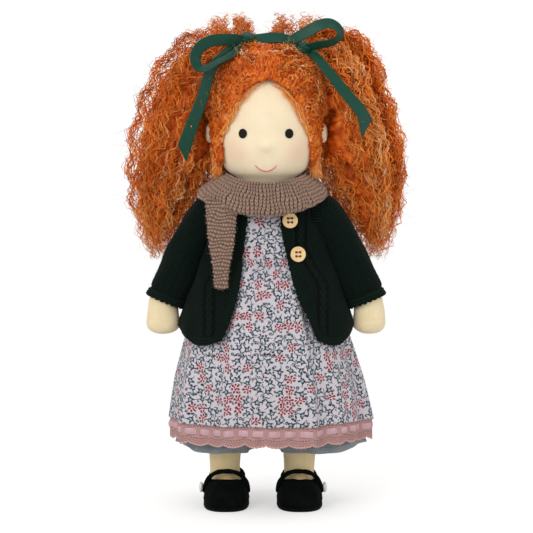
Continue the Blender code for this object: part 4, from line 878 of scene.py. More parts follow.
def drawSprigs(tree, cloth, ground):
    # Each cell of the cloth holds a sprig of flowers or a bunch of berries, turned its own way

    def scatter(pitch, randomness):
        cells = addNode(
            tree, "TexVoronoi", {"voronoi_dimensions": "2D", "Scale": 1 / pitch, "Randomness": randomness},
            {"Vector": cloth},
        )
        away = addNode(tree, "VectorMath", {"operation": "SUBTRACT"}, {0: cloth, 1: cells.outputs["Position"]})
        parts = addNode(tree, "SeparateColor", None, {0: cells.outputs["Color"]})
        angle = combine(tree, "MULTIPLY", parts.outputs[0], math.tau)
        turned = addNode(
            tree, "VectorRotate", {"rotation_type": "Z_AXIS"}, {"Vector": away.outputs[0], "Angle": angle}
        )
        return turned.outputs[0], parts.outputs[1], cells.outputs["Distance"]

    def placed(field, x, y, lean, long=1.0, wide=1.0):
        # The field seen from a shape's own middle, where the shape's size is 1
        local = addNode(
            tree, "Mapping",
            {"vector_type": "TEXTURE", "Location": (x, y, 0), "Rotation": (0, 0, lean), "Scale": (long, wide, 1)},
            {"Vector": field},
        )
        return addNode(tree, "VectorMath", {"operation": "MULTIPLY", 1: (1, 1, 0)}, {0: local.outputs[0]}).outputs[0]

    def size(field):
        return addNode(tree, "VectorMath", {"operation": "LENGTH"}, {0: field}).outputs["Value"]

    def polar(field):
        parts = addNode(tree, "SeparateXYZ", None, {0: field})
        return size(field), combine(tree, "ARCTAN2", parts.outputs[1], parts.outputs[0])

    def within(value, edge, soft):
        return addNode(tree, "MapRange", {"From Min": edge, "From Max": edge - soft}, {0: value}).outputs[0]

    def least(values):
        found = values[0]
        for value in values[1:]:
            found = combine(tree, "MINIMUM", found, value)
        return found

    def flower(x, y, lean, radius):
        # Five petals fan out above a small cup: below 1 is inside the flower
        far, angle = polar(placed(field, x, y, lean, radius, radius))
        upper = combine(tree, "MULTIPLY_ADD", combine(tree, "SINE", angle), 0.5, 0.5)
        lobes = combine(tree, "SINE", combine(tree, "MULTIPLY", angle, 5.0))
        lobes = combine(tree, "MULTIPLY_ADD", lobes, 0.5, 0.45)
        reach = combine(tree, "MULTIPLY_ADD", combine(tree, "MULTIPLY", upper, lobes), 0.62, 0.42)
        return combine(tree, "DIVIDE", far, reach)

    def ring(count, radius, long, wide, shift):
        # Drops in a ring, pointing outward: the angle is folded so that one oval serves for all
        far, angle = polar(placed(field, 0.0, 0.0, shift, 1.12, 0.86))
        fold = math.tau / count
        off = combine(tree, "SUBTRACT", combine(tree, "WRAP", angle, fold, 0.0), fold / 2)
        x = combine(tree, "SUBTRACT", combine(tree, "MULTIPLY", far, combine(tree, "COSINE", off)), radius)
        y = combine(tree, "MULTIPLY", far, combine(tree, "SINE", off))
        x, y = combine(tree, "DIVIDE", x, long), combine(tree, "DIVIDE", y, wide)
        oval = addNode(tree, "CombineXYZ", None, {0: x, 1: y})
        return size(oval.outputs[0])

    def arc(x, y, radius, wide):
        off = combine(tree, "SUBTRACT", size(placed(field, x, y, 0.0)), radius)
        return combine(tree, "DIVIDE", combine(tree, "ABSOLUTE", off), wide)

    def paint(colour, amount, code):
        return mixColours(tree, colour, code, amount)

    # Buds fill the room between the sprigs
    budField, _, _ = scatter(printing["budCell"], 0.8)
    field, kind, far = scatter(printing["cell"], 0.5)
    room = addNode(tree, "MapRange", {"From Min": 0.42, "From Max": 0.46}, {0: far}).outputs[0]
    bud = size(placed(budField, 0.0, 0.0, 0.0, 1.15, 0.9))
    colour = paint(ground, combine(tree, "MULTIPLY", within(bud, 1.0, 0.25), room), printing["blue"])
    colour = paint(colour, combine(tree, "MULTIPLY", within(bud, 0.45, 0.25), room), printing["petal"])
    berries = combine(tree, "GREATER_THAN", kind, printing["berryShare"])
    flowers = combine(tree, "LESS_THAN", kind, printing["berryShare"])
    near = within(size(placed(field, 0.0, 0.0, 0.0, 4.2, 4.2)), 1.0, 0.05)
    stems = within(least([arc(3.2, -2.2, 3.6, 0.30), arc(-3.4, -1.6, 2.8, 0.30)]), 1.0, 0.6)
    stems = combine(tree, "MULTIPLY", combine(tree, "MULTIPLY", stems, near), flowers)
    colour = paint(colour, stems, printing["blue"])
    petals = least([flower(0.2, 0.4, 0.2, 3.2), flower(-2.4, -2.4, 2.2, 1.9)])
    leaf = least([
        size(placed(field, 2.6, -2.2, 0.7, 1.5, 0.72)), size(placed(field, 0.9, -3.2, 2.2, 1.1, 0.6)),
    ])
    colour = paint(colour, combine(tree, "MULTIPLY", within(leaf, 1.0, 0.25), flowers), printing["blue"])
    colour = paint(colour, combine(tree, "MULTIPLY", within(petals, 1.0, 0.14), flowers), printing["blue"])
    colour = paint(colour, combine(tree, "MULTIPLY", within(petals, 0.46, 0.14), flowers), printing["petal"])
    drops = least([ring(7, 2.25, 0.95, 0.80, 0.3), ring(3, 0.80, 0.80, 0.62, 0.9)])
    return paint(colour, combine(tree, "MULTIPLY", within(drops, 1.0, 0.25), berries), printing["berry"])


def makePrint():
    print_, tree, shader = newMaterial("printedCottonLawn", "#e2dce2", 0.86, Sheen_Weight=0.08)
    cloth = clothSpot(tree)
    wobble = addNode(tree, "TexNoise", {"Scale": 0.3, "Detail": 1.0}, {"Vector": cloth})
    middle = addNode(tree, "VectorMath", {"operation": "SUBTRACT", 1: (0.5, 0.5, 0.5)}, {0: wobble.outputs["Color"]})
    bend = (printing["bend"], printing["bend"], 0)
    bent = addNode(tree, "VectorMath", {"operation": "MULTIPLY_ADD", 1: bend}, {0: middle.outputs[0], 2: cloth})
    ground = mixColours(tree, "#d4ced4", "#c8c1c8", grain(tree, cloth, 0.05, 2.0))
    paintBase(tree, shader, drawSprigs(tree, bent.outputs[0], ground))
    # The weave has a thread every 0.45 mm, drawn at 0.6 mm so that it shows
    weave = combine(tree, "MULTIPLY", *(threadsOf(tree, cloth, way, 3.8) for way in ("X", "Y")))
    addBump(tree, shader, weave, 0.0001, 0.6)
    return print_


printedCotton = makePrint()
dress = {
    "rows": 150, "halfColumns": 420, "foldDepth": 3.2, "gatherDepth": 0.75, "thickness": 0.8, "seam": 160.6,
    "neck": 198.6, "drawnIn": 0.065,
}


def skirtFolds(turn, share):
    # Deep soft folds that open towards the hem, and fine gathers under the waist
    wide = 0.62 * np.cos(13 * turn + 0.5 * np.sin(turn * 3)) + 0.42 * np.cos(8 * turn + 1.1)
    wide = wide + 0.30 * np.cos(21 * turn + 2.0) + 0.26 * np.cos(5 * turn - 0.7)
    # Two creases near the middle of the front
    centre = 0
    for depth, place, spread in ((3.6, -0.07, 0.05), (2.8, 0.56, 0.06)):
        centre = centre - depth * np.exp(-(np.angle(np.exp(1j * (turn - place))) / spread) ** 2)
    gathers = np.cos(74 * turn + 1.3 * np.sin(11 * turn)) + 0.5 * np.cos(47 * turn + 0.4)
    deep = dress["foldDepth"] * (0.18 + 0.82 * np.clip(share, 0, 1) ** 1.3) * wide
    fine = dress["gatherDepth"] * np.exp(-share / 0.10) * gathers
    return deep + centre * (0.35 + 0.65 * share) + fine


def hangHem(turn, z, push, size, share, power):
    # The hem is drawn in a little at -X, and sags between its folds
    x, y = ovalPoint(turn, size[0] + push, size[1] + push, power)
    x = np.where(x < 0, x * (1 - dress["drawnIn"] * np.clip(share, 0, 1) ** 1.5), x)
    return np.stack([x, y, z + 0.5 * np.cos(6 * turn + 0.8) * share], -1)


def skirtPoint(turn, z, out=0.0):
    share = skirtShare(z)
    push = skirtFolds(turn, share) * (0.3 + 0.7 * np.clip(share / 0.03, 0, 1)) + out
    return hangHem(turn, z, push, skirtSize(z), share, clothFullness(z))


def halfTurns(side, count):
    # Each half of a ring runs from the middle of the front to the middle of the back
    return np.linspace(0, sides[side] * math.pi, count)


def hangFromWaist(piece):
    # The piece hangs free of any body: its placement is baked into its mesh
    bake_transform(piece)


def buildDress():
    turns = np.linspace(-math.pi, math.pi, 500)
    t, z = np.meshgrid(turns, np.linspace(dress["seam"], dress["neck"], 70))
    width, depth = bodySize(z, bodyShape["clothOut"])
    gather = 0.22 * np.cos(58 * t) * np.exp(-(z - dress["seam"]) / 3.0)
    gather = gather + 0.25 * ripple(np.stack([t * 20, z * 0.4, z * 0], -1), 14, 3)
    x, y = ovalPoint(t, width + gather, depth + gather, bodyShape["power"])
    bodice = openGrid(
        "bodice_cloth", np.stack([x, y, z], -1), printedCotton, "torso", ["dress_bodice"],
        t * 27.5 + 500, z + 31.7, 0.8,
    )
    for side, sign in sides.items():
        share = np.linspace(0, 1, dress["rows"]) ** 1.12
        t, z = np.meshgrid(halfTurns(side, dress["halfColumns"]), bodyShape["waist"] + 0.2 - 104.2 * share)
        grid = skirtPoint(t, z)
        if sign < 0:
            grid, t, z = grid[:, ::-1], t[:, ::-1], z[:, ::-1]
        grid = grid[::-1]
        piece = openGrid(
            f"skirt_cloth_{side}", grid, printedCotton, None, ["dress_skirt"],
            t[::-1] * (38 + 21 * np.clip(skirtShare(z[::-1]), 0, 1) ** 0.7), z[::-1], dress["thickness"],
        )
        bakeModifiers(piece)
        hangFromWaist(piece)


buildDress()
print("dress built")


# Crocheted cotton lace in dusty pink, matte, with a satin ribbon threaded through its top row
lace = {
    "top": 58.6, "bottom": 45.8, "scallops": 28, "scallopDepth": 2.0, "thickness": 0.55, "post": 9.4, "holeTop": 54.6,
    "holeBottom": 50.6, "holeHalf": 3.3, "radius": 59.0, "seat": 57.0, "ribbonHeight": 52.6, "ribbonHalf": 2.15,
}


def addKnots(tree, shader, size, distance, strength):
    knots = addNode(tree, "TexVoronoi", {"Scale": 1 / size}, {"Vector": objectSpot(tree)})
    addBump(tree, shader, knots.outputs["Distance"], distance, strength).invert = True


def makeThread(name, base, dark, thread, roughness=0.9):
    cotton, tree, shader = newMaterial(name, base, roughness, Sheen_Weight=0.15)
    mottle(tree, shader, base, dark, 0.0017)
    addKnots(tree, shader, thread * mm, 0.00022, 0.8)
    return cotton


def makeCrochet():
    # The net between the threads is deeper than the threads, and the finish paints it darker there from the relief:
    # painted shade
    crochet, tree, shader = newMaterial("crochetedPinkCotton", "#cfa29f", 0.9, Sheen_Weight=0.15)
    paintBase(tree, shader, mixColours(tree, "#7c5452", "#cda09b", readShade(tree, "relief")))
    addKnots(tree, shader, 1 / 1400, 0.0002, 0.7)
    return crochet


pinkLace = makeCrochet()


def makeSatin(name, base, shade, roughness=0.3):
    # Woven face satin: long floats give it a soft shine along the ribbon. Its streaks are painted sheen and shade,
    # which mix a lit colour with a shaded colour of the satin
    satin, tree, shader = newMaterial(name, base, roughness, Specular_IOR_Level=0.3)
    cloth = clothSpot(tree)
    stretched = addNode(tree, "Mapping", {"Scale": (5.0, 0.35, 1.0)}, {"Vector": cloth})
    streaks = grain(tree, stretched.outputs[0], 1.0, 3.0)
    paintBase(tree, shader, mixColours(tree, base, shade, streaks))
    height = combine(tree, "MULTIPLY_ADD", threadsOf(tree, cloth, "Y", 3.4), 0.35, streaks)
    addBump(tree, shader, height, 0.00008, 0.5)
    return satin


def lacePoint(turn, z, out):
    push = skirtFolds(turn, 1.0) - 1.5 + out
    return hangHem(turn, z, push, skirtSize(np.full_like(z, lace["seat"])), 1, 2.0)


def buildLace():
    # A lit colour and a shaded colour of the satin, mixed in streaks: painted sheen and shade
    pinkSatin = makeSatin("pinkThreadedSatin", "#dfbcc2", "#b98d94")
    for side, sign in sides.items():
        turns = halfTurns(side, 620)
        t, share = np.meshgrid(turns, np.linspace(0, 1, 44))
        arcLength = np.abs(t) * lace["radius"]
        pitch = lace["radius"] * math.tau / lace["scallops"]
        dip = lace["scallopDepth"] * np.abs(np.sin(math.pi * arcLength / pitch)) ** 0.75
        picots = 0.45 * np.abs(np.sin(math.pi * arcLength / 2.2))
        bottom = lace["bottom"] - dip - picots
        z = lace["top"] + (bottom - lace["top"]) * share
        level = lace["top"] + (lace["bottom"] - lace["scallopDepth"] - lace["top"]) * share
        post = np.abs(((arcLength / lace["post"]) % 1) - 0.5) * lace["post"]
        window = (level < lace["holeTop"]) & (level > lace["holeBottom"]) & (post < lace["holeHalf"])
        row = (level - 40) / 1.5
        loops = arcLength / 1.55 + 0.5 * (np.floor(row) % 2)
        net = (np.abs(loops % 1 - 0.5) < 0.30) & (np.abs(row % 1 - 0.5) < 0.27)
        net &= (level < 49.6) & (share < 0.93)
        header = (np.abs(level - 56.0) < 0.45) & (np.abs((arcLength / 2.1 % 1) - 0.5) < 0.28)
        relief = 0.22 * np.abs(np.sin(math.pi * arcLength / 1.05)) * np.abs(np.sin(math.pi * level / 0.95))
        pits = net | header
        grid = lacePoint(t, z, relief + 0.25 * share - 0.28 * pits)
        faces = gridFaces(*grid.shape[:2])[~window[:-1, :-1].reshape(-1)]
        if sign > 0:
            faces = faces[:, ::-1]
        mesh = buildMesh(f"lace_{side}", grid.reshape(-1, 3) * mm, faces)
        # Painted shade: the pits of the net and the header are darkest, the rest follows the relief and grows lighter
        # towards the bottom edge
        edge = np.clip((share - 0.90) / 0.06, 0, 1)
        addShade(mesh, "relief", np.where(pits, 0.1, 0.72 + 0.28 * edge + 0.6 * (relief - 0.1)))
        piece = addPiece(f"lace_{side}", mesh, pinkLace, None, ["lace_trim"])
        thicken(piece, lace["thickness"] * mm, 0)
        bakeModifiers(piece)
        hangFromWaist(piece)
        # The satin lies over the posts and under the windows between them
        t, h = np.meshgrid(turns[::2], np.linspace(-lace["ribbonHalf"], lace["ribbonHalf"], 9))
        arcLength = np.abs(t) * lace["radius"]
        weave = np.cos(math.tau * (arcLength / lace["post"] - 0.5))
        crown = 0.35 * (1 - (h / 2.3) ** 2)
        z = lace["ribbonHeight"] + h * (1 - 0.12 * (1 - weave) / 2)
        grid = lacePoint(t, z, 0.28 + 0.62 * weave + crown * (1.2 + weave))
        if sign > 0:
            grid, arcLength, h = grid[:, ::-1], arcLength[:, ::-1], h[:, ::-1]
        band = openGrid(
            f"threaded_satin_{side}", grid, pinkSatin, None, ["lace_ribbon"],
            arcLength, h, 0.3,
        )
        bakeModifiers(band)
        hangFromWaist(band)


buildLace()
print("lace built")


# Bloomers of chambray linen: a plain weave of blue-grey threads, dull and slightly slubbed
def makeLinen():
    linen, tree, shader = newMaterial("greyBlueChambray", "#878d92", 0.92, Sheen_Weight=0.1)
    cloth = clothSpot(tree)
    threads = (threadsOf(tree, cloth, way, 3.2, Distortion=0.8, Detail=2.0) for way in ("X", "Y"))
    height = combine(tree, "MAXIMUM", *threads)
    paintBase(tree, shader, mixColours(tree, "#757c82", "#9aa0a5", height))
    addBump(tree, shader, height, 0.00015, 0.7)
    return linen


bloomers = {
    "waistLow": 86.5, "waistTop": 116, "top": 85.7, "length": 49.2, "halfWidth": {"right": 24.8, "left": 29.0},
    "halfDepth": 28.0, "spread": 33.0, "shift": 1.3, "rootX": 15.3, "rootDepth": 21, "flare": 2.2, "lift": 5.0,
}


def buildBloomers():
    linen = makeLinen()
    turns = np.linspace(-math.pi, math.pi, 240)
    t, z = np.meshgrid(turns, np.linspace(bloomers["waistLow"], bloomers["waistTop"], 40))
    width, depth = bodySize(np.maximum(z, 95), bodyShape["clothOut"])
    gather = 0.3 * np.cos(50 * t) * np.exp(-(bloomers["waistTop"] - z) / 4)
    x, y = ovalPoint(t, width + gather, depth + gather, bodyShape["power"])
    waist = openGrid(
        "bloomers_top", np.stack([x, y, z], -1), linen, "torso", ["bloomers_waist"], t * 26, z, 0.8
    )
    shares = [(0.0, 0.0), (0.12, 0.18), (0.3, 0.42), (0.6, 0.78), (1.0, 1.0)]
    for side, sign in sides.items():
        t, share = np.meshgrid(np.linspace(-math.pi, math.pi, 300), np.linspace(1, 0, 90))
        grown = readTable(shares, share)
        halfWidth = bloomers["rootX"] + (bloomers["halfWidth"][side] - bloomers["rootX"]) * grown
        halfDepth = bloomers["rootDepth"] + (bloomers["halfDepth"] - bloomers["rootDepth"]) * grown
        folds = (0.9 * np.cos(9 * t + sign) + 0.6 * np.cos(14 * t + 0.7)) * grown
        hem = 0.35 * np.exp(-((share - 0.90) / 0.012) ** 2)
        x, y = ovalPoint(t, halfWidth + folds - hem, halfDepth + folds - hem, 2.0)
        outer = np.clip(sign * np.sin(t), 0, 1) ** 1.5
        middle = bloomers["rootX"] + (bloomers["spread"] - bloomers["rootX"]) * grown
        x = x + sign * middle + (bloomers["shift"] + sign * bloomers["flare"] * outer) * grown
        z = bloomers["top"] - bloomers["length"] * share
        z = z + (0.5 * np.cos(5 * t + sign) + bloomers["lift"] * outer) * grown
        piece = openGrid(
            f"bloomers_leg_{side}", np.stack([x, y, z], -1), linen, None, [f"bloomers_{side}"],
            t * 24, bloomers["length"] * share, 0.8,
        )
        bakeModifiers(piece)
        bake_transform(piece)


buildBloomers()
print("bloomers built")


def smoothTable(keys, shares, soft=0.03):
    # A table of rows read along shares from 0 to 1, with its corners eased
    keys = np.asarray(keys, float)
    places = keys[:, 0]
    columns = []
    for column in keys[:, 1:].T:
        taps = [np.interp(shares + soft * k, places, column) for k in (-1, -0.5, 0, 0.5, 1)]
        columns.append(sum(taps) / 5)
    return columns


# Torso: a tube of stockinette stuffed firmly with wool, hidden by the clothes
def buildTorso():
    turns = np.linspace(0, math.tau, 72, endpoint=False)
    z = np.concatenate([[86.2, 86.6, 87.4], np.linspace(89, 199, 40), [200.2, 200.8, 201.0]])
    width, depth = bodySize(z, 0.0)
    x, y = ovalPoint(turns[None], width[:, None], depth[:, None], bodyShape["power"])
    grid = np.stack([x, y, z[:, None] + 0 * x], -1)
    grid = grid + gridNormals(grid, closed=True) * (0.25 * ripple(grid, 16, 41))[..., None]
    ringBody("torso_stuffing", grid, limbSkin, "torso", ["torso"])


# Arms: station rows are how far out, how far down, the sleeve's size and how far the sleeve has turned down
arm = {
    "armholeX": 34.1, "shoulder": 189.0, "splay": 32.7, "drop": 56.5, "cuffTilt": math.radians(23), "radius": 9.4,
    "sleeveRadius": 14.0, "stubStart": 30.6, "stubRadius": 7.0, "handLength": 22.0, "handHalfWidth": 11.0,
    "handHalfDepth": 7.8,
    "stations": [
        (0.000, 0.000, 1.00, 0.00), (0.136, 0.037, 1.04, 0.22), (0.250, 0.115, 1.00, 0.41), (0.382, 0.252, 0.95, 0.66),
        (0.532, 0.4425, 0.94, 0.89), (0.700, 0.655, 0.935, 1.03), (0.855, 0.836, 0.90, 1.07),
        (1.000, 1.000, 0.85, 1.00),
    ],
    "hand": [
        (0.0, 0.90, 1.1), (0.30, 0.94, 1.08), (0.58, 1.0, 1.0), (0.82, 0.84, 0.84), (0.95, 0.50, 0.52),
        (1.0, 0.12, 0.12),
    ],
    "limb": [(0, 0.72), (0.16, 0.9), (0.35, 1.0), (0.7, 0.98), (1.0, 0.93)],
    "sleeveLength": 68.0, "stitchRadius": 13.4, "stitches": 46, "ribs": 44,
}


def armLine(shares):
    # The middle of the sleeve and its tilt, at shares of its length from the armhole to the cuff
    rows = np.array(arm["stations"])
    flat = np.stack([rows[:, 0] * arm["splay"], rows[:, 1] * arm["drop"]], -1)
    far = np.concatenate([[0], np.cumsum(np.linalg.norm(np.diff(flat, axis=0), axis=1))])
    keys = np.column_stack([far / far[-1], rows])
    out, drop, size, turn = smoothTable(keys, shares, 0.035)
    ends = np.clip(shares / 0.06, 0, 1)
    tilt = math.pi / 2 - turn * ends * (math.pi / 2 - arm["cuffTilt"])
    x = arm["armholeX"] + arm["splay"] * out * ends
    z = arm["shoulder"] - arm["drop"] * drop * ends
    return x, z, size, tilt


def ringsOn(x, z, tilt, halfAcross, halfDeep, turns, sign, power=2.0):
    # Rings square to the arm: across lies in the front view and deep runs to the front
    s, c = np.sin(turns)[None], np.cos(turns)[None]
    swell = swelling(s, c, power)
    wide, deep = halfAcross * c * swell, halfDeep * s * swell
    px = sign * (x[:, None] + np.cos(tilt)[:, None] * wide)
    return np.stack([px, -deep, z[:, None] + np.sin(tilt)[:, None] * wide], -1)


def buildArms():
    turns = np.linspace(0, math.tau, 56, endpoint=False)
    for side, sign in sides.items():
        shares = np.linspace(0.0, 1.0, 60)
        x, z, _, tilt = armLine(shares)
        radius = arm["radius"] * smoothTable(arm["limb"], shares)[0]
        stub = np.linspace(arm["stubStart"], arm["armholeX"] - 0.4, 4)
        x = np.concatenate([stub, x])
        z = np.concatenate([np.full(4, arm["shoulder"]), z])
        tilt = np.concatenate([np.full(4, math.pi / 2), tilt])
        radius = np.concatenate([np.array([0.7, 0.92, 0.96, 0.97]) * arm["stubRadius"], radius])[:, None]
        grid = ringsOn(x, z, tilt, radius, radius, turns, sign)
        down = 1 - (1 - np.linspace(0.04, 1, 46)) ** 1.4
        wide, deep = smoothTable(arm["hand"], down, 0.04)
        close = np.sqrt(np.clip(1 - (np.clip(down - 0.62, 0, 1) / 0.385) ** 2.4, 0.0, 1))
        wide, deep = (np.maximum(np.where(down > 0.62, close, size), 0.05)[:, None] for size in (wide, deep))
        level = tilt[-1] * (1 - down)
        handX = x[-1] + arm["handLength"] * 0.06 * down
        handZ = z[-1] - arm["handLength"] * down
        hand = ringsOn(
            handX, handZ, level, arm["handHalfWidth"] * wide, arm["handHalfDepth"] * deep, turns, sign
        )
        grid = np.concatenate([grid, hand])
        grid = grid + gridNormals(grid, closed=True) * (0.16 * ripple(grid, 13, 43))[..., None]
        piece = ringBody(
            f"arm_and_hand_{side}", grid, limbSkin, f"arm_{side}", [f"arm_{side}"], flip=sign > 0
        )


# Legs and feet, stuffed as the arms are, with a sewn seam down each
leg = {
    "hip": (16.0, 0.0, 80.0), "ankleX": {"right": -27.0, "left": 21.8}, "setback": 0.5, "sole": 2.7, "radius": 11.0,
    "radii": [
        (-0.141, 0.10), (-0.130, 0.42), (-0.095, 0.75), (-0.05, 0.94), (0.0, 1.0), (0.25, 0.99), (0.5, 0.985),
        (0.72, 0.90), (0.88, 0.87), (1.0, 0.84),
    ],
    "seamTurn": {"right": 2.4, "left": 0.28},
}


def buildLegs():
    turns = np.linspace(-math.pi, math.pi, 72, endpoint=False)
    for side, sign in sides.items():
        shares = np.concatenate([np.linspace(-0.141, 0.02, 20), np.linspace(0.035, 0.97, 70)])
        radius = leg["radius"] * smoothTable(leg["radii"], shares, 0.015)[0]
        part = np.clip(shares * 2, 0, 1)
        x = sign * leg["hip"][0] * (1 - part) + leg["ankleX"][side] * part
        y = leg["setback"] * part
        z = leg["hip"][2] + (leg["sole"] - leg["hip"][2]) * shares
        seam = np.exp(-((np.angle(np.exp(1j * (turns - leg["seamTurn"][side])))) * 10.5 / 0.55) ** 2)
        around = radius[:, None] * (1 + 0 * turns) - 0.32 * seam
        middle = np.stack([x, y, z], -1)[:, None]
        grid = middle + np.stack([around * np.sin(turns), -around * np.cos(turns), 0 * around], -1)
        grid = grid + gridNormals(grid, closed=True) * (0.14 * ripple(grid, 15, 47))[..., None]
        piece = ringBody(
            f"leg_tube_{side}", grid, paintedLightLegSkin, f"leg_{side}", [f"leg_{side}"], flip=True
        )
        around = np.linspace(-math.pi, math.pi, 96, endpoint=False)
        foot = shoeDome(side, around, 1.9, np.linspace(0, 0.985, 26)[:, None])
        toes = ringBody(f"foot_{side}", foot, paintedLightLegSkin, f"leg_{side}", ())


# Shoes of black-green cotton velvet, with a bound opening, a padded strap and a pearl button
shoe = {
    "x": {"right": -25.8, "left": 21.8}, "middleY": -9.5, "halfLength": 24.0, "halfWidth": 14.8, "toeHeight": 15.4,
    "heelHeight": 21.6, "floor": 2.7, "heelNarrow": 0.16, "rimY": -3.5, "rimHalfLength": 15.6, "rimHalfWidth": 11.25,
    "wall": 1.5, "strapY": -13.34, "strapHalfWidth": 2.5, "strapHalfThickness": 1.35, "strapRise": 18.3,
    "pearlIn": 1.3, "binding": 0.95,
    "sole": [(-1.2, 0.0), (-0.5, 0.12), (-0.1, 0.6), (0.1, 1.2), (0.05, 1.9), (-0.2, 2.3), (-0.8, 2.4)],
}


def shoeOutline(turns, inset=0.0):
    # Seen from above, round the shoe's middle; a turn of 0 is the toe and a quarter turn is at +X
    s, c = np.sin(turns), np.cos(turns)
    swell = swelling(s, c, 2.6)
    y = -(shoe["halfLength"] - inset) * c * swell
    narrow = 1 - shoe["heelNarrow"] * easeInOut(np.clip(y / shoe["halfLength"], 0, 1))
    return (shoe["halfWidth"] - inset) * s * swell * narrow, y


def shoeRimShare(turns):
    # How far out from the shoe's middle the opening's edge lies, as a share of the outline
    x, y = shoeOutline(turns)
    low, high = np.zeros(turns.shape), np.ones(turns.shape)
    for _ in range(26):
        middle = (low + high) / 2
        across = np.abs(x * middle) / shoe["rimHalfWidth"]
        along = np.abs(y * middle + shoe["middleY"] - shoe["rimY"]) / shoe["rimHalfLength"]
        inside = across**2.3 + along**2.3 < 1
        low, high = np.where(inside, middle, low), np.where(inside, high, middle)
    return low


def shoeHeel(turns):
    # From 0 at the toe to 1 at the heel, and how square the shoe's wall is there
    heel = easeInOut(np.clip(-np.cos(turns), 0, 1))
    return heel, 3.1 + 3.4 * heel


def shoeDome(side, turns, inset, climb):
    # Rows climb from the sole: 0 is at the sole and 1 is over the middle
    heel, power = shoeHeel(turns)
    height = shoe["toeHeight"] + (shoe["heelHeight"] - shoe["toeHeight"]) * heel - inset
    x, y = shoeOutline(turns, inset)
    angle = climb * math.pi / 2
    near = np.clip(np.cos(angle), 0, 1) ** (2 / power)
    lift = np.clip(np.sin(angle), 0, 1) ** (2 / power)
    z = shoe["floor"] + height * lift
    return np.stack([shoe["x"][side] + x * near, shoe["middleY"] + y * near, z + 0 * near], -1)


def makeVelvet():
    velvet, tree, shader = newMaterial(
        "blackGreenVelvet", "#030806", 0.95, Sheen_Weight=0.16, Sheen_Roughness=0.35, Specular_IOR_Level=0.1
    )
    shader.inputs["Sheen Tint"].default_value = hexColour("#24382f")
    mottle(tree, shader, "#060d0a", "#020403", 0.006)
    spot = objectSpot(tree)
    height = combine(tree, "MULTIPLY_ADD", grain(tree, spot, 1100.0, 2.0), 0.5, grain(tree, spot, 160.0, 3.0))
    addBump(tree, shader, height, 0.0003, 0.6)
    return velvet


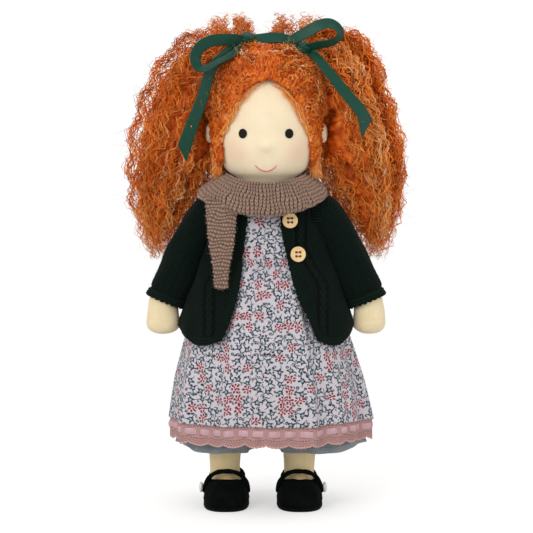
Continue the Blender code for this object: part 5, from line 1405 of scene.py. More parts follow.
def buildShoes():
    velvet = makeVelvet()
    felt, tree, shader = newMaterial("blackWoolFelt", "#050706", 0.95, Sheen_Weight=0.05, Specular_IOR_Level=0.1)
    mottle(tree, shader, "#080b0a", "#030404", 0.003)
    addBump(tree, shader, grain(tree, objectSpot(tree), 700.0, 4.0), 0.0004)
    # Pearl button: moulded, white, with a deep soft gloss
    pearl, tree, shader = newMaterial(
        "mouldedPearl", "#f1efea", 0.22, Coat_Weight=0.6, Coat_Roughness=0.08, Subsurface_Weight=0.15,
        Subsurface_Scale=0.002,
    )
    mottle(tree, shader, "#f6f4f0", "#dcdadd", 0.004)
    turns = np.linspace(-math.pi, math.pi, 128, endpoint=False)
    for side, sign in sides.items():
        rimShare = shoeRimShare(turns)
        top = np.arccos(np.clip(rimShare, 0, 1) ** (shoeHeel(turns)[1] / 2)) / (math.pi / 2)
        climb = np.linspace(0, 1, 40)[:, None] ** 0.9 * top[None]
        grid = shoeDome(side, turns, 0.0, climb)
        normals = -gridNormals(grid, closed=True)
        seamLine = np.exp(-((climb - 0.045) / 0.012) ** 2)
        wrinkle = 0.22 * ripple(grid, 9, 51) * np.clip(climb * 6, 0, 1)
        grid = grid + normals * (wrinkle - 0.25 * seamLine)[..., None] * np.where(climb < 0.01, 0, 1)[..., None]
        ringBody(
            f"velvet_upper_{side}", grid, velvet, f"leg_{side}", [f"shoe_upper_{side}"], capped=False,
            thickness=shoe["wall"],
        )
        # The binding that is sewn over the opening's edge
        edge = np.concatenate([grid[-1], grid[-1, :1]])
        rim = curveThrough(edge, np.linspace(0, 1, 220))[:-1] - (0, 0, 0.1)
        around = np.linspace(0, math.tau, 12, endpoint=False)
        along = unit(np.roll(rim, -1, 0) - np.roll(rim, 1, 0))
        outward = unit(np.cross(along, (0, 0, 1.0)))
        upward = np.cross(outward, along)
        stitch = 1.0 + 0.10 * np.cos(np.arange(len(rim)) * math.tau / 4)
        ring = outward[:, None] * np.cos(around)[:, None] * 0.9 + upward[:, None] * np.sin(around)[:, None]
        loop = rim[:, None] + shoe["binding"] * stitch[:, None, None] * ring
        faces = gridFaces(len(rim) + 1, 12, closed=True) % (len(rim) * 12)
        binding = buildMesh(f"shoe_binding_{side}", loop.reshape(-1, 3) * mm, faces)
        addPiece(f"shoe_binding_{side}", binding, velvet, f"leg_{side}", ())
        # The felt sole, with its edge rounded
        rows = []
        for out, z in shoe["sole"]:
            x, y = shoeOutline(turns, -out)
            rows.append(np.stack([shoe["x"][side] + x, shoe["middleY"] + y, np.full(x.shape, z)], -1))
        ringBody(f"felt_sole_{side}", np.stack(rows), felt, f"leg_{side}", [f"shoe_sole_{side}"])
        # The padded strap over the instep, tapered to its sewn ends
        angles = np.radians(np.linspace(18, 162, 80))
        s, c = np.sin(angles), np.cos(angles)
        swell = swelling(s, c, 2.5)
        halfWidth = shoe["halfWidth"] - 0.4 + shoe["strapHalfThickness"] * np.sin(angles) ** 0.5
        path = np.stack([
            shoe["x"][side] + sign * halfWidth * c * swell, np.full(80, shoe["strapY"]),
            shoe["floor"] + (shoe["strapRise"] + 0.45 + shoe["strapHalfThickness"]) * s * swell,
        ], -1)
        along = unit(np.gradient(path, axis=0))
        across = np.array([0, 1.0, 0])
        normal = np.cross(along, across)
        around = np.linspace(0, math.tau, 28, endpoint=False)
        a, b = np.cos(around), np.sin(around)
        fill = swelling(a, b, 2.8)
        place = np.linspace(0, 1, 80)
        taper = np.clip(1 - (np.abs(place - 0.5) / 0.503) ** 14, 0.02, 1) ** 0.5
        wide = shoe["strapHalfWidth"] * taper[:, None] * a * fill
        thick = shoe["strapHalfThickness"] * taper[:, None] * (1 + 0.08 * np.sin(place * 38))[:, None] * b * fill
        strap = path[:, None] + wide[..., None] * across + thick[..., None] * normal[:, None]
        ringBody(
            f"velvet_strap_{side}", strap, velvet, f"strap_{side}", [f"shoe_strap_{side}"], flip=sign < 0
        )
        low, high = (np.array(corner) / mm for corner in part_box(f"shoe_button_{side}"))
        centre, half = (low + high) / 2 - (sign * shoe["pearlIn"], 0, 0), (high - low) / 2
        rise = np.linspace(0.03, math.pi - 0.03, 28)
        around = np.linspace(0, math.tau, 40, endpoint=False)
        ring = np.sin(rise)[:, None] ** 0.85
        bead = np.stack([
            centre[0] + sign * half[0] * np.cos(rise)[:, None] + 0 * around, centre[1] + half[1] * ring * np.cos(around),
            centre[2] + half[2] * ring * np.sin(around),
        ], -1)
        ringBody(f"pearl_{side}", bead, pearl, f"strap_{side}", [f"shoe_button_{side}"], flip=sign < 0)


buildTorso()
buildArms()
buildLegs()
buildShoes()
print("limbs and shoes built")


# Knitting: how high the yarn stands over the cloth, from 0 to 1, where across and along are in millimetres
def stockinette(across, along, wide, tall):
    # Columns of V stitches; the two legs of each lean out from the column's middle
    place = (across / wide) % 1 - 0.5
    gap = np.clip((0.5 - np.abs(place)) / 0.20, 0, 1) ** 1.2 * (0.7 + 0.3 * np.clip(np.abs(place) / 0.09, 0, 1))
    beat = 0.5 + 0.5 * np.cos(math.tau * (along / tall + 1.4 * np.abs(place)))
    return gap * (0.42 + 0.58 * beat)


def garter(across, along, wide, tall):
    # Ridges across the cloth, each a row of bumps
    ridge = 0.5 + 0.5 * np.cos(math.tau * along / tall)
    shift = 0.5 * (np.floor(along / tall + 0.5) % 2)
    return (0.34 + 0.66 * ridge) * (0.70 + 0.30 * np.cos(math.tau * (across / wide + shift)))


def makeKnit(name, deep, middle, light, fibre, sheen=0.35):
    # Wool yarn: matte, with a halo of fibres. Its colour is painted shade and light from the relief: darkest in the
    # pits between the stitches, lighter on the stitches' tops
    knit, tree, shader = newMaterial(
        name, middle, 0.95, Sheen_Weight=sheen, Sheen_Roughness=0.5, Specular_IOR_Level=0.12
    )
    spot = objectSpot(tree)
    # Painted shade: the relief, with a little noise, picks the colour from deep in the pits to light on the tops
    height = combine(tree, "MULTIPLY_ADD", grain(tree, spot, 420.0, 3.0), 0.3, readShade(tree, "relief"))
    ramp = addNode(tree, "ValToRGB", None, {0: height})
    stops = ramp.color_ramp.elements
    stops[0].position, stops[1].position = 0.18, 0.98
    stops[0].color, stops[1].color = hexColour(deep), hexColour(light)
    stops.new(0.55).color = hexColour(middle)
    paintBase(tree, shader, ramp.outputs[0])
    addBump(tree, shader, grain(tree, spot, 1 / fibre, 3.0, 0.7), 0.00022, 0.8)
    return knit


def addFuzz(name, grid, normals, count, length, finish, body, seed, radius=0.045, relief=0.8):
    # Short fibres that stand off the wool and soften its outline
    rng = np.random.default_rng(seed)
    r = rng.integers(0, grid.shape[0], count)
    c = rng.integers(0, grid.shape[1], count)
    base, out = grid[r, c], normals[r, c]
    lean = unit(out * 0.8 + rng.normal(size=(count, 3)) * 0.75)
    curl = rng.normal(size=(count, 3)) * 0.35
    steps = np.linspace(0, 1, 4)[None, :, None]
    reach = (length * rng.uniform(0.4, 1.25, count))[:, None, None]
    paths = base[:, None] + (lean[:, None] * steps + curl[:, None] * steps**2) * reach
    radii = radius * (1 - 0.8 * np.linspace(0, 1, 4))[None] * rng.uniform(0.6, 1.3, count)[:, None]
    points, groups = tubes(paths, radii, 3, caps=False)
    mesh = buildMesh(name, points * mm, *groups)
    # The fuzz takes a high relief, so the finish paints it in the lighter colour of the stitches' tops
    addShade(mesh, "relief", np.full(len(points), relief))
    addPiece(name, mesh, finish, body)


scarf = {
    "topRadius": 24.0, "rim": 217.0, "frontDip": 7.0, "frontReach": 33.5, "sideReach": (43.8, 38.6),
    "sideHeight": 11.0, "frontHeight": 20.5, "halfThickness": 3.1, "power": 2.8, "outerRows": 108, "innerRows": 14,
    "columns": 84, "stitchWide": 2.6, "stitchTall": 2.6, "stitchHigh": 1.5, "tailX": -28.5, "tailY": -26.2,
    "tailSlant": 7.5, "tailTop": 197.5, "tailLength": 54.5, "tailTilt": math.radians(22), "tailHalfThickness": 1.25,
    "ridge": 2.3, "bumpWide": 1.9, "bumpHigh": 0.95, "tailWidth": [(0, 22.0), (0.45, 16.6), (0.8, 9.4), (1, 7.6)],
}


def buildScarf():
    # Hand-knitted wool in taupe: columns of V stitches on the wrap, garter ridges on the tail
    # The first colour is painted shade for the pits, the last a painted lighter tone for the stitches' tops
    wool = makeKnit("taupeWoolKnit", "#281c16", "#7f6557", "#ab8f7d", 0.0011, sheen=0.2)
    turns = np.linspace(-math.pi, math.pi, 660, endpoint=False)
    outerRows = scarf["outerRows"]
    section = [np.linspace(-35, 205, outerRows), np.linspace(212, 318, scarf["innerRows"])]
    section = np.concatenate(section) * math.pi / 180
    front = (((1 + np.cos(turns)) / 2) ** 2)[None]
    reach = np.where(turns < 0, *scarf["sideReach"])
    outer = scarf["frontReach"] + (reach - scarf["frontReach"]) * np.abs(np.sin(turns))[None] ** 2.4
    high = scarf["rim"] - scarf["frontDip"] * front
    low = high - scarf["sideHeight"] - (scarf["frontHeight"] - scarf["sideHeight"]) * front
    alongR, alongZ = scarf["topRadius"] - outer, high - low
    half = np.hypot(alongR, alongZ) / 2
    alongR, alongZ = alongR / (2 * half), alongZ / (2 * half)
    s, c = np.sin(section)[:, None], np.cos(section)[:, None]
    swell = swelling(s, c, scarf["power"])
    sag = 1 + 0.10 * ripple(np.stack([np.cos(turns) * 3, np.sin(turns) * 3, 0 * turns], -1), 3.5, 61)[None]
    a, b = half * c * swell, scarf["halfThickness"] * s * swell * np.where(s > 0, sag, 1)
    radius = (scarf["topRadius"] + outer) / 2 + alongR * a + alongZ * b
    z = (high + low) / 2 + alongZ * a - alongR * b
    grid = np.stack([radius * np.sin(turns), -radius * np.cos(turns), z], -1)
    normals = outwardNormals(grid, grid.mean(0, keepdims=True), closed=True)
    along = gridLengths(grid, 0)
    columns = turns[None] * (scarf["columns"] / math.tau) * scarf["stitchWide"] + 0.6 * ripple(grid, 12, 62)
    stitches = stockinette(columns, along + 0.5 * ripple(grid, 10, 63), scarf["stitchWide"], scarf["stitchTall"])
    outside = (np.arange(len(section)) < outerRows)[:, None] * 1.0
    grid = grid + normals * ((stitches - 0.5) * scarf["stitchHigh"] * outside)[..., None]
    faces = gridFaces(len(section) + 1, len(turns), closed=True) % (len(section) * len(turns))
    mesh = buildMesh("knitted_wrap", grid.reshape(-1, 3) * mm, faces)
    # Painted shade: the inner rows carry no stitches, so their relief is 0 and the finish paints them its darkest
    # colour
    addShade(mesh, "relief", stitches * outside)
    wrap = addPiece("knitted_wrap", mesh, wool, "torso", ["scarf_wrap"])
    addFuzz("wrap_fuzz", grid[:outerRows], normals[:outerRows], 3600, 1.3, wool, "torso", 64)
    # The tail is a tapered strip
    share = np.linspace(0, 1, 190)
    around = np.linspace(0, math.tau, 96, endpoint=False)
    width = smoothTable(scarf["tailWidth"], share, 0.04)[0]
    halfWidth = width / 2 * (1 + 0.10 * np.exp(-((share - 0.95) / 0.035) ** 2))
    tip = np.clip(1 - (np.clip(share - 0.965, 0, 1) / 0.036) ** 3, 0.05, 1) ** 0.5
    tilt = scarf["tailTilt"] * (1 - share)
    s, c = np.sin(around)[None], np.cos(around)[None]
    fill = swelling(s, c, 3.2)
    wide = (halfWidth * tip)[:, None] * c * fill
    thick = (scarf["tailHalfThickness"] * (0.35 + 0.65 * tip))[:, None] * s * fill
    x = scarf["tailX"] + wide * np.cos(tilt)[:, None]
    y = scarf["tailY"] - scarf["tailSlant"] * share[:, None] - thick
    z = scarf["tailTop"] - scarf["tailLength"] * share[:, None] - wide * np.sin(tilt)[:, None]
    grid = np.stack([x, y, z], -1)
    normals = outwardNormals(grid, grid.mean(1, keepdims=True), closed=True)
    edgeWobble = 0.18 * np.sin(share * scarf["tailLength"] * math.tau / (2 * scarf["ridge"]))[:, None] * np.abs(c) ** 6
    along = share[:, None] * scarf["tailLength"] + 0.5 * ripple(grid, 9, 66)
    slant = 0.35 * wide * np.exp(-share[:, None] * 2)
    bumps = garter(wide + 0.4 * ripple(grid, 7, 67), along + slant, scarf["bumpWide"], scarf["ridge"])
    grid = grid + normals * ((bumps - 0.4) * scarf["bumpHigh"] + edgeWobble)[..., None]
    flip = np.sum(np.cross(grid[1, 1] - grid[0, 1], grid[0, 2] - grid[0, 1]) * normals[0, 1]) > 0
    # The ridges' relief sets the painted shade of the tail
    tail = ringBody(
        "knitted_tail", grid, wool, "scarf_tail", ["scarf_tail"], flip=flip, shade=("relief", bumps)
    )
    addFuzz("tail_fuzz", grid, normals, 1500, 1.3, wool, "scarf_tail", 68)


cardigan = {
    "top": 198.5, "hem": 118.5, "cornerDrop": 11.5, "reach": 48.0, "seam": 0.01, "thickness": 1.5, "stitchWide": 2.1,
    "stitchTall": 1.6, "stitchHigh": 0.42, "cableX": 36.0, "bandWidth": 5.0,
    "corner": [(0.0, 0.0), (0.3, 0.45), (0.65, 1.0), (0.85, 0.95), (1.0, 0.6)],
    "edge": {
        "right": [(0.0, 0.61), (0.15, 0.48), (0.36, 0.355), (0.70, 0.27), (1.0, 0.22)],
        "left": [(0.0, 0.71), (0.12, 0.60), (0.32, 0.42), (0.52, 0.30), (0.76, 0.20), (1.0, 0.165)],
    },
    "armhole": 8.0, "waist": 35.0, "flare": 22.5, "ridgeWide": 1.9, "ridgeTall": 2.1, "strand": 1.3, "twist": 1.25,
    "twistTall": 9.5,
}


def knitPoint(turn, z, growth):
    # The cardigan hangs from the armhole to the hem, so it stands off the waist at the sides
    point = coatPoint(turn, z, growth)
    hung = cardigan["waist"] + cardigan["flare"] * np.clip((184 - z) / 66, 0, 1) + growth - bodyShape["knitOut"]
    side = hung * np.clip((196 - z) / 12, 0, 1)
    widest = np.abs(coatPoint(np.full(np.shape(turn), math.pi / 2), z, growth)[..., 0])
    stretch = np.maximum(side / widest, 1)
    part = np.clip((np.abs(point[..., 0]) / widest - 0.25) / 0.75, 0, 1) ** 1.3
    return point * np.stack([1 + (stretch - 1) * part, 1 + 0 * part, 1 + 0 * part], -1)


def edgeTurn(x, z, growth):
    # The turn at which the cardigan's surface is at an x
    low, high = np.zeros(np.shape(z)), np.full(np.shape(z), math.pi / 2)
    for _ in range(26):
        middle = (low + high) / 2
        short = knitPoint(middle, z, growth)[..., 0] < x
        low, high = np.where(short, middle, low), np.where(short, high, middle)
    return low


def knitPanel(name, turns, z, finish, node, edgeFar, hemFar, seed):
    # A knitted panel over the body; edgeFar and hemFar are how far each point lies from the front edge and the hem
    grid = knitPoint(turns, z, bodyShape["knitOut"])
    normals = outwardNormals(grid, grid * (0, 0, 1))
    across, up = gridLengths(grid, 1), gridLengths(grid, 0)
    stitches = stockinette(across, up, cardigan["stitchWide"], cardigan["stitchTall"])
    ridges = garter(across, up, cardigan["ridgeWide"], cardigan["ridgeTall"])
    band = np.clip(np.maximum(cardigan["bandWidth"] - edgeFar, cardigan["bandWidth"] + 1 - hemFar), 0, 1)
    height = stitches * (1 - band) + ridges * band * 1.35
    # A cable of two crossing strands runs down each front
    x, y = np.abs(grid[..., 0]), grid[..., 1]
    off = x - cardigan["cableX"] * np.clip((205 - z) / 60, 0.62, 1)
    twist = cardigan["twist"] * np.sin(z * math.tau / cardigan["twistTall"])
    strands = (np.clip(1 - ((off - way * twist) / cardigan["strand"]) ** 2, 0, 1) for way in (1, -1))
    cable = np.sqrt(np.maximum(*strands))
    onCable = (y < 0) & (np.abs(off) < 4) & (band < 0.5)
    height = np.where(onCable, 0.6 * height + 0.9 * cable, height)
    sway = 0.35 * ripple(grid, 22, seed)
    pulled = np.exp(-edgeFar / 2.0) * 0.5 * np.sin(up * math.tau / 4.2)
    grid = grid + normals * (height * cardigan["stitchHigh"] + sway - 0.1)[..., None]
    grid = grid + unit(np.gradient(grid, axis=1)) * pulled[..., None] * 0.25
    hole = np.hypot(grid[..., 1], grid[..., 2] - arm["shoulder"]) < cardigan["armhole"]
    keep = ~(hole & (np.abs(grid[..., 0]) > 20))[:-1, :-1].reshape(-1)
    mesh = buildMesh(name, grid.reshape(-1, 3) * mm, gridFaces(*grid.shape[:2])[keep])
    # Painted shade from the relief; on the cable it is halved, so the cable is painted darker and shows little
    addShade(mesh, "relief", np.where(onCable, 0.5 * height, np.minimum(height, 0.9)))
    piece = addPiece(name, mesh, finish, "torso", [node])
    thicken(piece, cardigan["thickness"] * mm)
    addFuzz(f"{name}_fuzz", grid, normals, 2600, 1.15, finish, "torso", seed + 1, relief=0.9)


def buildCardigan(wool):
    top, hem, drop, seam = (cardigan[key] for key in ("top", "hem", "cornerDrop", "seam"))
    u, r = np.meshgrid(np.linspace(0, 1, 236), np.linspace(0, 1, 180))
    z = hem + (top - hem) * r
    turns = math.pi / 2 + seam + (math.pi - 2 * seam) * u
    far = np.full(z.shape, 40.0)
    knitPanel("knit_back", turns, z, wool, "cardigan_back", far, z - hem, 71)
    for side, sign in sides.items():
        u, r = np.meshgrid(np.linspace(0, 1, 150), np.linspace(0, 1, 210))
        bottom = hem - drop * smoothTable(cardigan["corner"], u, 0.06)[0]
        z = bottom + (top - bottom) * r
        rise = (z - hem + drop) / (top - hem + drop)
        edge = edgeTurn(smoothTable(cardigan["edge"][side], rise, 0.05)[0] * cardigan["reach"], z, 2.0)
        start = math.pi / 2 - seam
        turns = sign * (start + (edge - start) * u)
        away = np.linalg.norm(knitPoint(np.abs(turns), z, 3.0)[..., :2], axis=-1)
        edgeFar = (1 - u) * (start - edge) * away
        if sign > 0:
            turns, z, edgeFar, bottom = (grid[:, ::-1] for grid in (turns, z, edgeFar, bottom))
        knitPanel(
            f"knit_front_{side}", turns, z, wool, f"cardigan_front_{side}", edgeFar, z - bottom,
            73 if sign < 0 else 75,
        )


def buildSleeves(wool):
    turns = np.linspace(0, math.tau, 200, endpoint=False)
    for side, sign in sides.items():
        shares = np.linspace(0, 1, 170)
        x, z, size, tilt = armLine(shares)
        gather = 0.05 * np.exp(-((shares - 0.905) / 0.02) ** 2)
        flare = 0.04 * np.clip((shares - 0.915) / 0.085, 0, 1)
        scallop = 0.5 * np.cos(turns * 22)[None] * np.clip((shares - 0.97) / 0.03, 0, 1)[:, None]
        half = (arm["sleeveRadius"] * (size - gather + flare))[:, None] - 0.4
        lower = np.clip((shares - 0.45) / 0.5, 0, 1)
        grid = ringsOn(x - 0.9 * lower, z, tilt, half * (1 + 0.10 * lower[:, None]), half, turns, sign)
        # The first rings sit inside the armhole, so that no gap opens at the shoulder
        inside = np.stack([grid[0] - (sign * k, 0, 0) for k in (4.5, 3.0, 1.5)])
        grid = np.concatenate([inside, grid])
        shares = np.concatenate([np.full(3, 0.0), shares])
        scallop = np.concatenate([np.zeros((3, len(turns))), scallop])
        normals = outwardNormals(grid, grid.mean(1, keepdims=True), closed=True)
        along = shares[:, None] * arm["sleeveLength"] + 0 * turns
        around = turns[None] * arm["stitchRadius"] + 0 * along
        girth = math.tau * arm["stitchRadius"]
        stitches = stockinette(around, along, girth / arm["stitches"], cardigan["stitchTall"] * 1.08)
        ridges = garter(around, along, girth / arm["ribs"], 2.2)
        band = np.clip((shares - 0.912) / 0.01, 0, 1)[:, None]
        height = stitches * (1 - band) + ridges * band * 1.7
        folds = 0.45 * ripple(grid, 19, 81) * np.clip(shares * 8, 0, 1)[:, None] * (1 - band)
        folds -= 0.8 * np.exp(-((shares - 0.42) / 0.05) ** 2)[:, None] * np.clip(-np.cos(turns), 0, 1)[None] ** 3
        grid = grid + normals * (height * cardigan["stitchHigh"] + folds + scallop * 0.5)[..., None]
        grid[..., 2] -= scallop * 0.6
        outward = np.sum(np.cross(grid[81, 0] - grid[80, 0], grid[80, 1] - grid[80, 0]) * normals[80, 0]) < 0
        # The stitches' relief sets the painted shade of the sleeve
        sleeve = ringBody(
            f"knit_sleeve_{side}", grid, wool, f"arm_{side}", [f"sleeve_{side}"], capped=False,
            thickness=cardigan["thickness"], flip=not outward, shade=("relief", height),
        )
        seed = 83 if sign < 0 else 85
        addFuzz(f"sleeve_fuzz_{side}", grid, normals, 3200, 1.15, wool, f"arm_{side}", seed, relief=0.9)


def buildButtons():
    # Turned birch: pale, straight-grained and waxed, so it has a soft shine; the thread is brown linen
    birch, tree, shader = newMaterial("waxedBirch", "#f0c688", 0.45, Specular_IOR_Level=0.4)
    spot = addNode(tree, "TexCoord")
    longer = addNode(tree, "Mapping", {"Scale": (1.0, 1.0, 0.12)}, {"Vector": spot.outputs["Object"]})
    grain = addNode(tree, "TexNoise", {"Scale": 1300.0, "Detail": 3.0}, {"Vector": longer.outputs[0]})
    tone = addNode(
        tree, "Mix", {"data_type": "RGBA", 6: hexColour("#ffe2b0"), 7: hexColour("#e8b676")}, {0: grain.outputs[0]}
    )
    tree.links.new(tone.outputs[2], shader.inputs["Base Color"])
    addBump(tree, shader, grain.outputs[0], 0.00008)
    thread = makeThread("brownLinenThread", "#8a6238", "#5a3c22", 0.35)
    profile = [
        (0.0, 0.0), (4.2, 0.0), (4.75, 0.25), (5.0, 0.8), (5.0, 1.5), (4.8, 2.0), (4.4, 2.2), (3.9, 2.1), (3.55, 1.85),
        (3.2, 1.75), (1.6, 1.8), (0.0, 1.85),
    ]
    for name in ("upper", "lower"):
        low, high = (np.array(corner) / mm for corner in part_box(f"button_{name}"))
        centre = (low + high) / 2
        turn = edgeTurn(centre[0], centre[2], 3.8)
        around = knitPoint(turn + 0.03, centre[2], 3.8) - knitPoint(turn - 0.03, centre[2], 3.8)
        upward = knitPoint(turn, centre[2] + 2, 3.8) - knitPoint(turn, centre[2] - 2, 3.8)
        out = unit(np.cross(around, upward))
        out = out if out[1] < 0 else -out
        across = unit(np.cross((0, 0, 1.0), out))
        up = np.cross(out, across)
        turns = np.linspace(0, math.tau, 72, endpoint=False)
        rows = smoothTable([(k / 11, *p) for k, p in enumerate(profile)], np.linspace(0, 1, 90), 0.012)
        radius, lift = np.maximum(rows[0], 0.02), rows[1] - 1.1
        grid = (
            centre + across * (radius[:, None] * np.cos(turns))[..., None] + up * (radius[:, None] * np.sin(turns))[..., None]
            + out * (lift[:, None] + 0 * turns)[..., None]
        )
        disc = ringBody(f"wooden_button_{name}", grid, birch, "torso", [f"button_{name}"])
        holes = [(1.3 * i, 1.3 * j) for i in (-1, 1) for j in (-1, 1)]
        for number, (i, j) in enumerate(holes):
            spotAt = centre + across * i + up * j
            path = np.stack([spotAt - out * 3, spotAt, spotAt + out * 3])[None]
            points, groups = tubes(path, np.full((1, 3), 0.85), 14)
            mesh = buildMesh(f"drill_{name}_{number}", points * mm, *groups)
            drill = bpy.data.objects.new(f"drill_{name}_{number}", mesh)
            bpy.context.scene.collection.objects.link(drill)
            cut = disc.modifiers.new("hole", "BOOLEAN")
            cut.object, cut.solver = drill, "EXACT"
        bakeModifiers(disc)
        disc.data.shade_smooth()
        disc.data.set_sharp_from_angle(angle=math.radians(38))
        for number in range(len(holes)):
            bpy.data.objects.remove(bpy.data.objects[f"drill_{name}_{number}"])
        paths = []
        for j in (-1.3, 1.3):
            for shift in (-0.13, 0.13):
                s = np.linspace(-1, 1, 24)
                rise = 0.75 + 0.42 * (1 - np.abs(s) ** 4) - 2.2 * np.clip(np.abs(s) - 0.86, 0, 1) * 7
                span = 1.3 * np.clip(np.abs(s) / 0.86, 0, 1) * np.sign(s)
                paths.append(centre + across * span[:, None] + up * (j + shift + 0 * s)[:, None] + out * rise[:, None])
        paths = np.array(paths)
        points, groups = tubes(paths, np.full(paths.shape[:2], 0.13), 8)
        mesh = buildMesh(f"button_stitches_{name}", points * mm, *groups)
        addPiece(f"button_stitches_{name}", mesh, thread, "torso", [f"button_thread_{name}"])


# The first colour is painted shade for the pits, the last a painted lighter tone for the stitches' tops
greenWool = makeKnit("bottleGreenMerino", "#000101", "#020a07", "#0c1e16", 0.0009, sheen=0.04)
buildScarf()
print("scarf built")
buildCardigan(greenWool)
buildSleeves(greenWool)
buildButtons()
print("cardigan built")


# Hair ribbon of bottle-green satin: a band over the crown, and at each end a knot, a loop and a tail
ribbon = {
    "width": 7.6, "thickness": 0.35, "knotX": {"right": -12.0, "left": 24.0}, "knotY": -9.0, "knotHalf": (5.0, 5.0, 4.0),
    "loopLength": 34.0, "tailLength": 80.0, "bandY": -4.95,
    "loop": {
        "right": [
            (0.06, 0.08, 0.00), (0.15, 0.18, -0.03), (0.40, 0.30, -0.04), (0.66, 0.38, -0.07), (0.88, 0.40, -0.19),
            (0.97, 0.40, -0.39), (0.90, 0.42, -0.56), (0.76, 0.42, -0.58), (0.55, 0.40, -0.455), (0.32, 0.32, -0.33),
            (0.16, 0.19, -0.19), (0.06, 0.08, -0.09),
        ],
        "left": [
            (-0.30, 0.12, 0.15), (-0.12, 0.14, 0.20), (0.08, 0.16, 0.30), (0.28, 0.19, 0.41), (0.48, 0.22, 0.445),
            (0.64, 0.22, 0.36), (0.68, 0.22, 0.21), (0.52, 0.20, 0.09), (0.22, 0.16, 0.03), (0.05, 0.08, 0.01),
        ],
    },
    "tail": {
        "right": [
            (0.04, 0.00, -0.02), (0.10, 0.03, -0.06), (0.19, 0.08, -0.14), (0.29, 0.13, -0.26), (0.36, 0.155, -0.49),
            (0.44, 0.155, -0.70), (0.52, 0.12, -0.92),
        ],
        "left": [
            (0.04, 0.00, -0.02), (0.08, 0.04, -0.05), (0.17, 0.115, -0.16), (0.32, 0.155, -0.35), (0.46, 0.170, -0.52),
            (0.50, 0.170, -0.65),
        ],
    },
}


def satinStrip(name, path, width, twists, finish, node, slant=0.0):
    # A flat ribbon along a path; twists turn its width towards the front view, and slant cuts its end askew
    along = unit(np.gradient(path, axis=0))
    front = np.array([0, -1.0, 0])
    flatWay = unit(np.cross(along, front))
    across = unit(front * np.cos(twists)[:, None] + flatWay * np.sin(twists)[:, None])
    normal = unit(np.cross(along, across))
    places = np.linspace(-1, 1, 13)
    cup = 0.22 * (places**2)[None] * np.sin(np.linspace(0, 9, len(path)))[:, None]
    grid = path[:, None] + across[:, None] * (places[None, :, None] * (width / 2)[:, None, None])
    grid = grid + normal[:, None] * cup[..., None]
    cut = np.clip((np.linspace(0, 1, len(path)) - 0.8) / 0.2, 0, 1)[:, None] * places[None] * slant
    grid = grid + along[:, None] * cut[..., None]
    piece = openGrid(name, grid, finish, "head", [node], thickness=ribbon["thickness"], offset=0)
    # A declared cut is at least 10 mm wide, so the area says how narrow the ribbon is
    return piece


def buildRibbon():
    # A lit colour and a shaded colour of the satin, mixed in streaks: painted sheen and shade
    satin = makeSatin("bottleGreenSatin", "#04533f", "#012b20", 0.42)
    knots = {}
    for side, x in ribbon["knotX"].items():
        knots[side] = np.array([x, ribbon["knotY"], capHeight(x, ribbon["knotY"]) + ribbon["knotHalf"][2] + 0.3])
    xs = np.linspace(knots["right"][0] - 2, knots["left"][0] + 2, 70)
    bandZ = capHeight(xs, ribbon["bandY"]) + 3.0 + 0.5 * np.sin(xs / 5)
    band = np.stack([xs, np.full(70, ribbon["bandY"] - 3.0), bandZ], -1)
    width, tilt = np.full(70, ribbon["width"]), np.full(70, math.radians(62))
    satinStrip("band_over_crown", band, width, tilt, satin, "ribbon_band")
    for side, sign in sides.items():
        flip = (sign, -1, 1)
        share = np.linspace(0, 1, 110)
        loop, tail = (
            knots[side] + curveThrough(np.array(ribbon[part][side]) * flip, share) * ribbon[f"{part}Length"]
            for part in ("loop", "tail")
        )
        pinch = 0.55 + 0.45 * np.clip(np.minimum(share, 1 - share) / 0.12, 0, 1)
        satinStrip(
            f"satin_loop_{side}", loop, ribbon["width"] * pinch, math.radians(52) + 0.35 * np.sin(share * math.tau),
            satin, f"bow_loop_{side}",
        )
        narrow = 0.6 + 0.58 * share
        satinStrip(
            f"satin_tail_{side}", tail, ribbon["width"] * narrow, np.full(110, math.radians(74)), satin,
            f"bow_tail_{side}", slant=4.2 * sign,
        )
        rise = np.linspace(0.05, math.pi - 0.05, 40)
        turns = np.linspace(0, math.tau, 64, endpoint=False)
        pleat = 1 + 0.07 * np.cos(turns * 5 + rise[:, None] * 3) - 0.10 * np.exp(-((rise[:, None] - 1.2) / 0.2) ** 2)
        half = ribbon["knotHalf"]
        ring = np.sin(rise)[:, None] ** 0.75 * pleat
        grid = knots[side] + np.stack([
            half[0] * np.cos(rise)[:, None] + 0 * turns, half[1] * ring * np.cos(turns), half[2] * ring * np.sin(turns),
        ], -1)
        mesh = buildMesh(
            f"satin_knot_{side}", grid.reshape(-1, 3) * mm, gridFaces(40, 64, closed=True),
            np.arange(64)[None, ::-1], np.arange(64)[None] + 39 * 64,
        )
        addClothMap(mesh, rise[:, None] * 4 + 0 * turns, turns[None] * 5 + 0 * rise[:, None])
        addPiece(f"satin_knot_{side}", mesh, satin, "head", [f"bow_knot_{side}"])


def openingHalf(z):
    # Half the width of the face opening at a height
    share = (z - cap["napeZ"]) / cap["openingTop"]
    table = [
        (-0.1, 0.78), (0.00, 0.80), (0.14, 0.93), (0.30, 1.00), (0.45, 0.95), (0.60, 0.84), (0.76, 0.68), (0.90, 0.46),
        (0.975, 0.20), (1.00, 0.0), (1.01, 0.0),
    ]
    return cap["openingHalf"] * smoothTable(table, share, 0.015)[0]


def capPoint(direction, growth):
    # The cap's surface in a direction from the middle of the head
    scaled = direction / np.array(capSizes(growth))
    level = np.hypot(scaled[..., 0], scaled[..., 1])
    reach = (level ** cap["power"] + np.abs(scaled[..., 2]) ** cap["power"]) ** (-1 / cap["power"])
    return direction * reach[..., None] + (0, 0, head["centre"])


def inOpening(points, margin=0.0):
    x, y, z = points[..., 0], points[..., 1], points[..., 2]
    half = np.where(z < 236, np.maximum(openingHalf(z), 29.6), openingHalf(z) * 1.03)
    return (y < -7) & (np.abs(x) < half - margin)


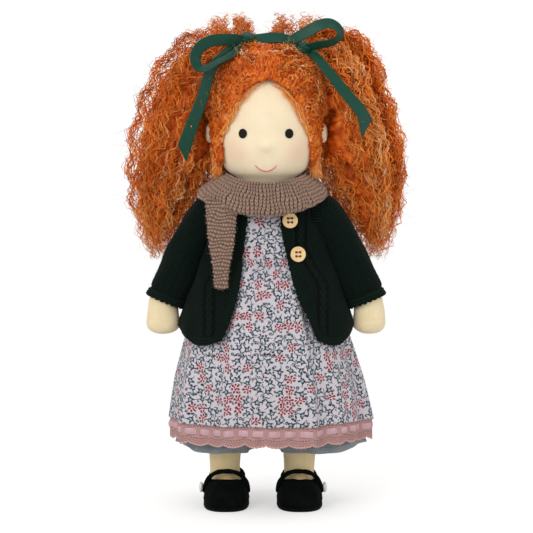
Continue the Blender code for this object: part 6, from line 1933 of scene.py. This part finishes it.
def buildHairCap():
    # The weft is real yarn under the curls; its finish is a darker copy of the mohair, painted shade that darkens the
    # gaps between the curls
    scalp = makeMohair("mohairWeftPaintedShade", "#822a02", "#d8610f", "#f08c32", "#f6b066")
    turns = np.linspace(0, math.tau, 200, endpoint=False)
    rise = np.linspace(0.02, 2.34, 130)
    direction = np.stack([
        np.sin(rise)[:, None] * np.cos(turns), np.sin(rise)[:, None] * np.sin(turns), np.cos(rise)[:, None] + 0 * turns,
    ], -1)
    grid = capPoint(direction, -1.0)
    bumps = 0.7 * ripple(grid, 6, 101) + 0.5 * ripple(grid, 2.6, 102)
    grid = grid + unit(grid - (0, 0, head["centre"])) * bumps[..., None]
    keep = ~(inOpening(grid, 0.4) | (grid[..., 2] < cap["napeZ"]))
    earRoom = (np.abs(grid[..., 1]) < 5.3) & (np.abs(grid[..., 2] - 242) < 6.8) & (np.abs(grid[..., 0]) > 30)
    keep &= ~earRoom
    faces = gridFaces(130, 200, closed=True)[keep[:-1].reshape(-1)]
    mesh = buildMesh("mohair_weft", grid.reshape(-1, 3) * mm, faces[:, ::-1])
    addShade(mesh, "yarnTint", np.minimum(0.34 + 0.30 * ripple(grid, 2.2, 103), 0.95))
    weft = addPiece("mohair_weft", mesh, scalp, "head", ["hair_cap"])
    thicken(weft, 0.0022)
    # Crimped yarn lies over the weft and runs towards the ties
    rng = np.random.default_rng(104)
    count, steps = 1250, 26
    seeds = rng.normal(size=(count * 3, 3))
    seeds[:, 2] = np.abs(seeds[:, 2]) * 1.1 - 0.55
    start = capPoint(unit(seeds), 0.0)
    atEar = (np.abs(start[:, 1]) < 5.5) & (np.abs(start[:, 2] - ear["roomZ"]) < 7)
    good = ~inOpening(start, -0.8) & (start[:, 2] > cap["napeZ"] + 1) & ~atEar
    start = start[good][:count]
    count = len(start)
    side = np.where(np.abs(start[:, 0]) < 3, rng.choice([-1, 1], count), np.sign(start[:, 0]))
    tie = np.stack([side * 30.0, 0 * side + 0.0, 0 * side + 284.0], -1)
    length = rng.uniform(8, 26, count)
    t = np.linspace(0, 1, steps)
    here = start.copy()
    path = [here]
    heading = unit(tie - start) + rng.normal(size=(count, 3)) * 0.55
    for _ in range(steps - 1):
        heading = unit(heading * 0.85 + unit(tie - here) * 0.25 + rng.normal(size=(count, 3)) * 0.30)
        here = here + heading * (length / steps)[:, None]
        here = capPoint(unit(here - (0, 0, head["centre"])), 0.0)
        path.append(here)
    paths = np.stack(path, 1)
    outward = unit(paths - (0, 0, head["centre"]))
    along = unit(np.gradient(paths, axis=1))
    sideways = np.cross(along, outward)
    pitch = rng.uniform(2.6, 5.2, count)[:, None]
    phase = rng.uniform(0, math.tau, count)[:, None]
    run = t[None] * length[:, None]
    crimp = rng.uniform(0.6, 1.6, count)[:, None]
    lift = rng.uniform(0.0, 2.4, count)[:, None] + crimp * 0.8 * np.sin(run * math.tau / pitch * 0.9 + phase * 1.6)
    ends = np.sin(np.clip(t, 0.02, 0.98) * math.pi)[None] ** 0.4
    paths = paths + sideways * (crimp * np.sin(run * math.tau / pitch + phase))[..., None]
    paths = paths + outward * (lift * ends)[..., None]
    paths = paths + rng.normal(0, 0.26, paths.shape)
    radii = 0.34 * rng.uniform(0.55, 1.25, count)[:, None] * (0.45 + 0.55 * ends)
    tints = np.clip(rng.normal(0.42, 0.25, count)[:, None] + 0.14 * np.sin(run / 3 + phase), 0.03, 1)
    tints[rng.random(count) < 0.012] = 0.85
    # No curl crosses an ear
    x, y, z = np.moveaxis(paths, -1, 0)
    free = ~((np.abs(x) > 33.0) & (np.abs(y + 7) < 17) & (np.abs(z - 242) < 8.0)).any(1)
    paths, radii, tints = paths[free], radii[free], tints[free]
    addYarns("crown_curls", paths, radii, tints, mohair)
    addHairFuzz("crown_frizz", paths, 4600, 3.2, 105, tone=0.70, steps=6)


def buildFaceStrands():
    # Lighter waves that leave the hairline and run down both sides of the face to the scarf
    rng = np.random.default_rng(111)
    steps = 54
    for side, sign in sides.items():
        paths, radii, tints = [], [], []
        for number in range(185):
            startZ = rng.uniform(236, 274)
            layer = rng.uniform(0, 1)
            z = startZ + (rng.uniform(212, 219) - startZ) * np.linspace(0, 1, steps)
            inner = np.interp(
                z, [210, 217, 223, 232, 240, 247, 254, 260, 268, 273],
                [29.4, 29.2, 29.8, 30.4, 27.8, 23.8, 19.8, 16.6, 9.0, 2.4],
            )
            x = inner + layer * np.interp(z, [212, 225, 240, 255, 272], [6.5, 4.0, 4.6, 9.0, 6.0])
            width = (head["halfWidth"] + 1.2) * np.maximum(headLevel(z, 1.2), 0.62)
            bulge = np.clip(1 - (x / np.maximum(width, x + 0.4)) ** 2, 0.0, 1)
            y = -(head["halfDepth"] + 1.2) * np.maximum(headLevel(z, 1.2), 0.62) * np.sqrt(bulge)
            y = np.minimum(y, -5.5) - rng.uniform(0.2, 2.2)
            path = np.stack([x, y, z], -1)
            run = np.abs(z - startZ)
            phase = rng.uniform(0, math.tau)
            pitch = rng.uniform(5.0, 9.5)
            crimp = rng.uniform(0.35, 1.0)
            path[:, 0] += crimp * np.sin(run * math.tau / pitch + phase) + 0.8 * np.sin(run / 9 + phase * 2)
            path[:, 1] += 0.7 * crimp * np.cos(run * math.tau / pitch * 0.9 + phase)
            if number >= 115:
                # Behind the cheek, where no light comes between the jaw and the bunch
                path[:, 0] += rng.uniform(-6, 6) - 1.0
                path[:, 1] = rng.uniform(4, 14) + 1.5 * np.sin(run * math.tau / pitch)
                path[:, 2] = 212 + (path[:, 2] - 212) * 0.45
            paths.append(path * (sign, 1, 1))
            ends = np.sin(np.linspace(0.06, 0.97, steps) * math.pi) ** 0.3
            radii.append(rng.uniform(0.20, 0.40) * ends)
            tints.append(np.clip(rng.normal(0.64, 0.13) + 0.1 * np.sin(run / 6 + phase), 0.1, 1))
        paths = np.array(paths)
        addYarns(f"face_waves_{side}", paths, np.array(radii), np.array(tints), mohair)
        addHairFuzz(f"face_frizz_{side}", paths, 700, 2.6, 112 + sign, steps=6)


def finishTies():
    # Elastic covered with brown thread
    elastic = makeThread("brownCoveredElastic", "#5a2a12", "#3a180a", 0.5)
    for side in sides:
        tie = frame["nodes"][f"hair_tie_{side}"]
        tie.data.materials.clear()
        tie.data.materials.append(elastic)


buildRibbon()
buildHairCap()
buildFaceStrands()
finishTies()
print("hair and ribbon built")
bpy.context.view_layer.update()
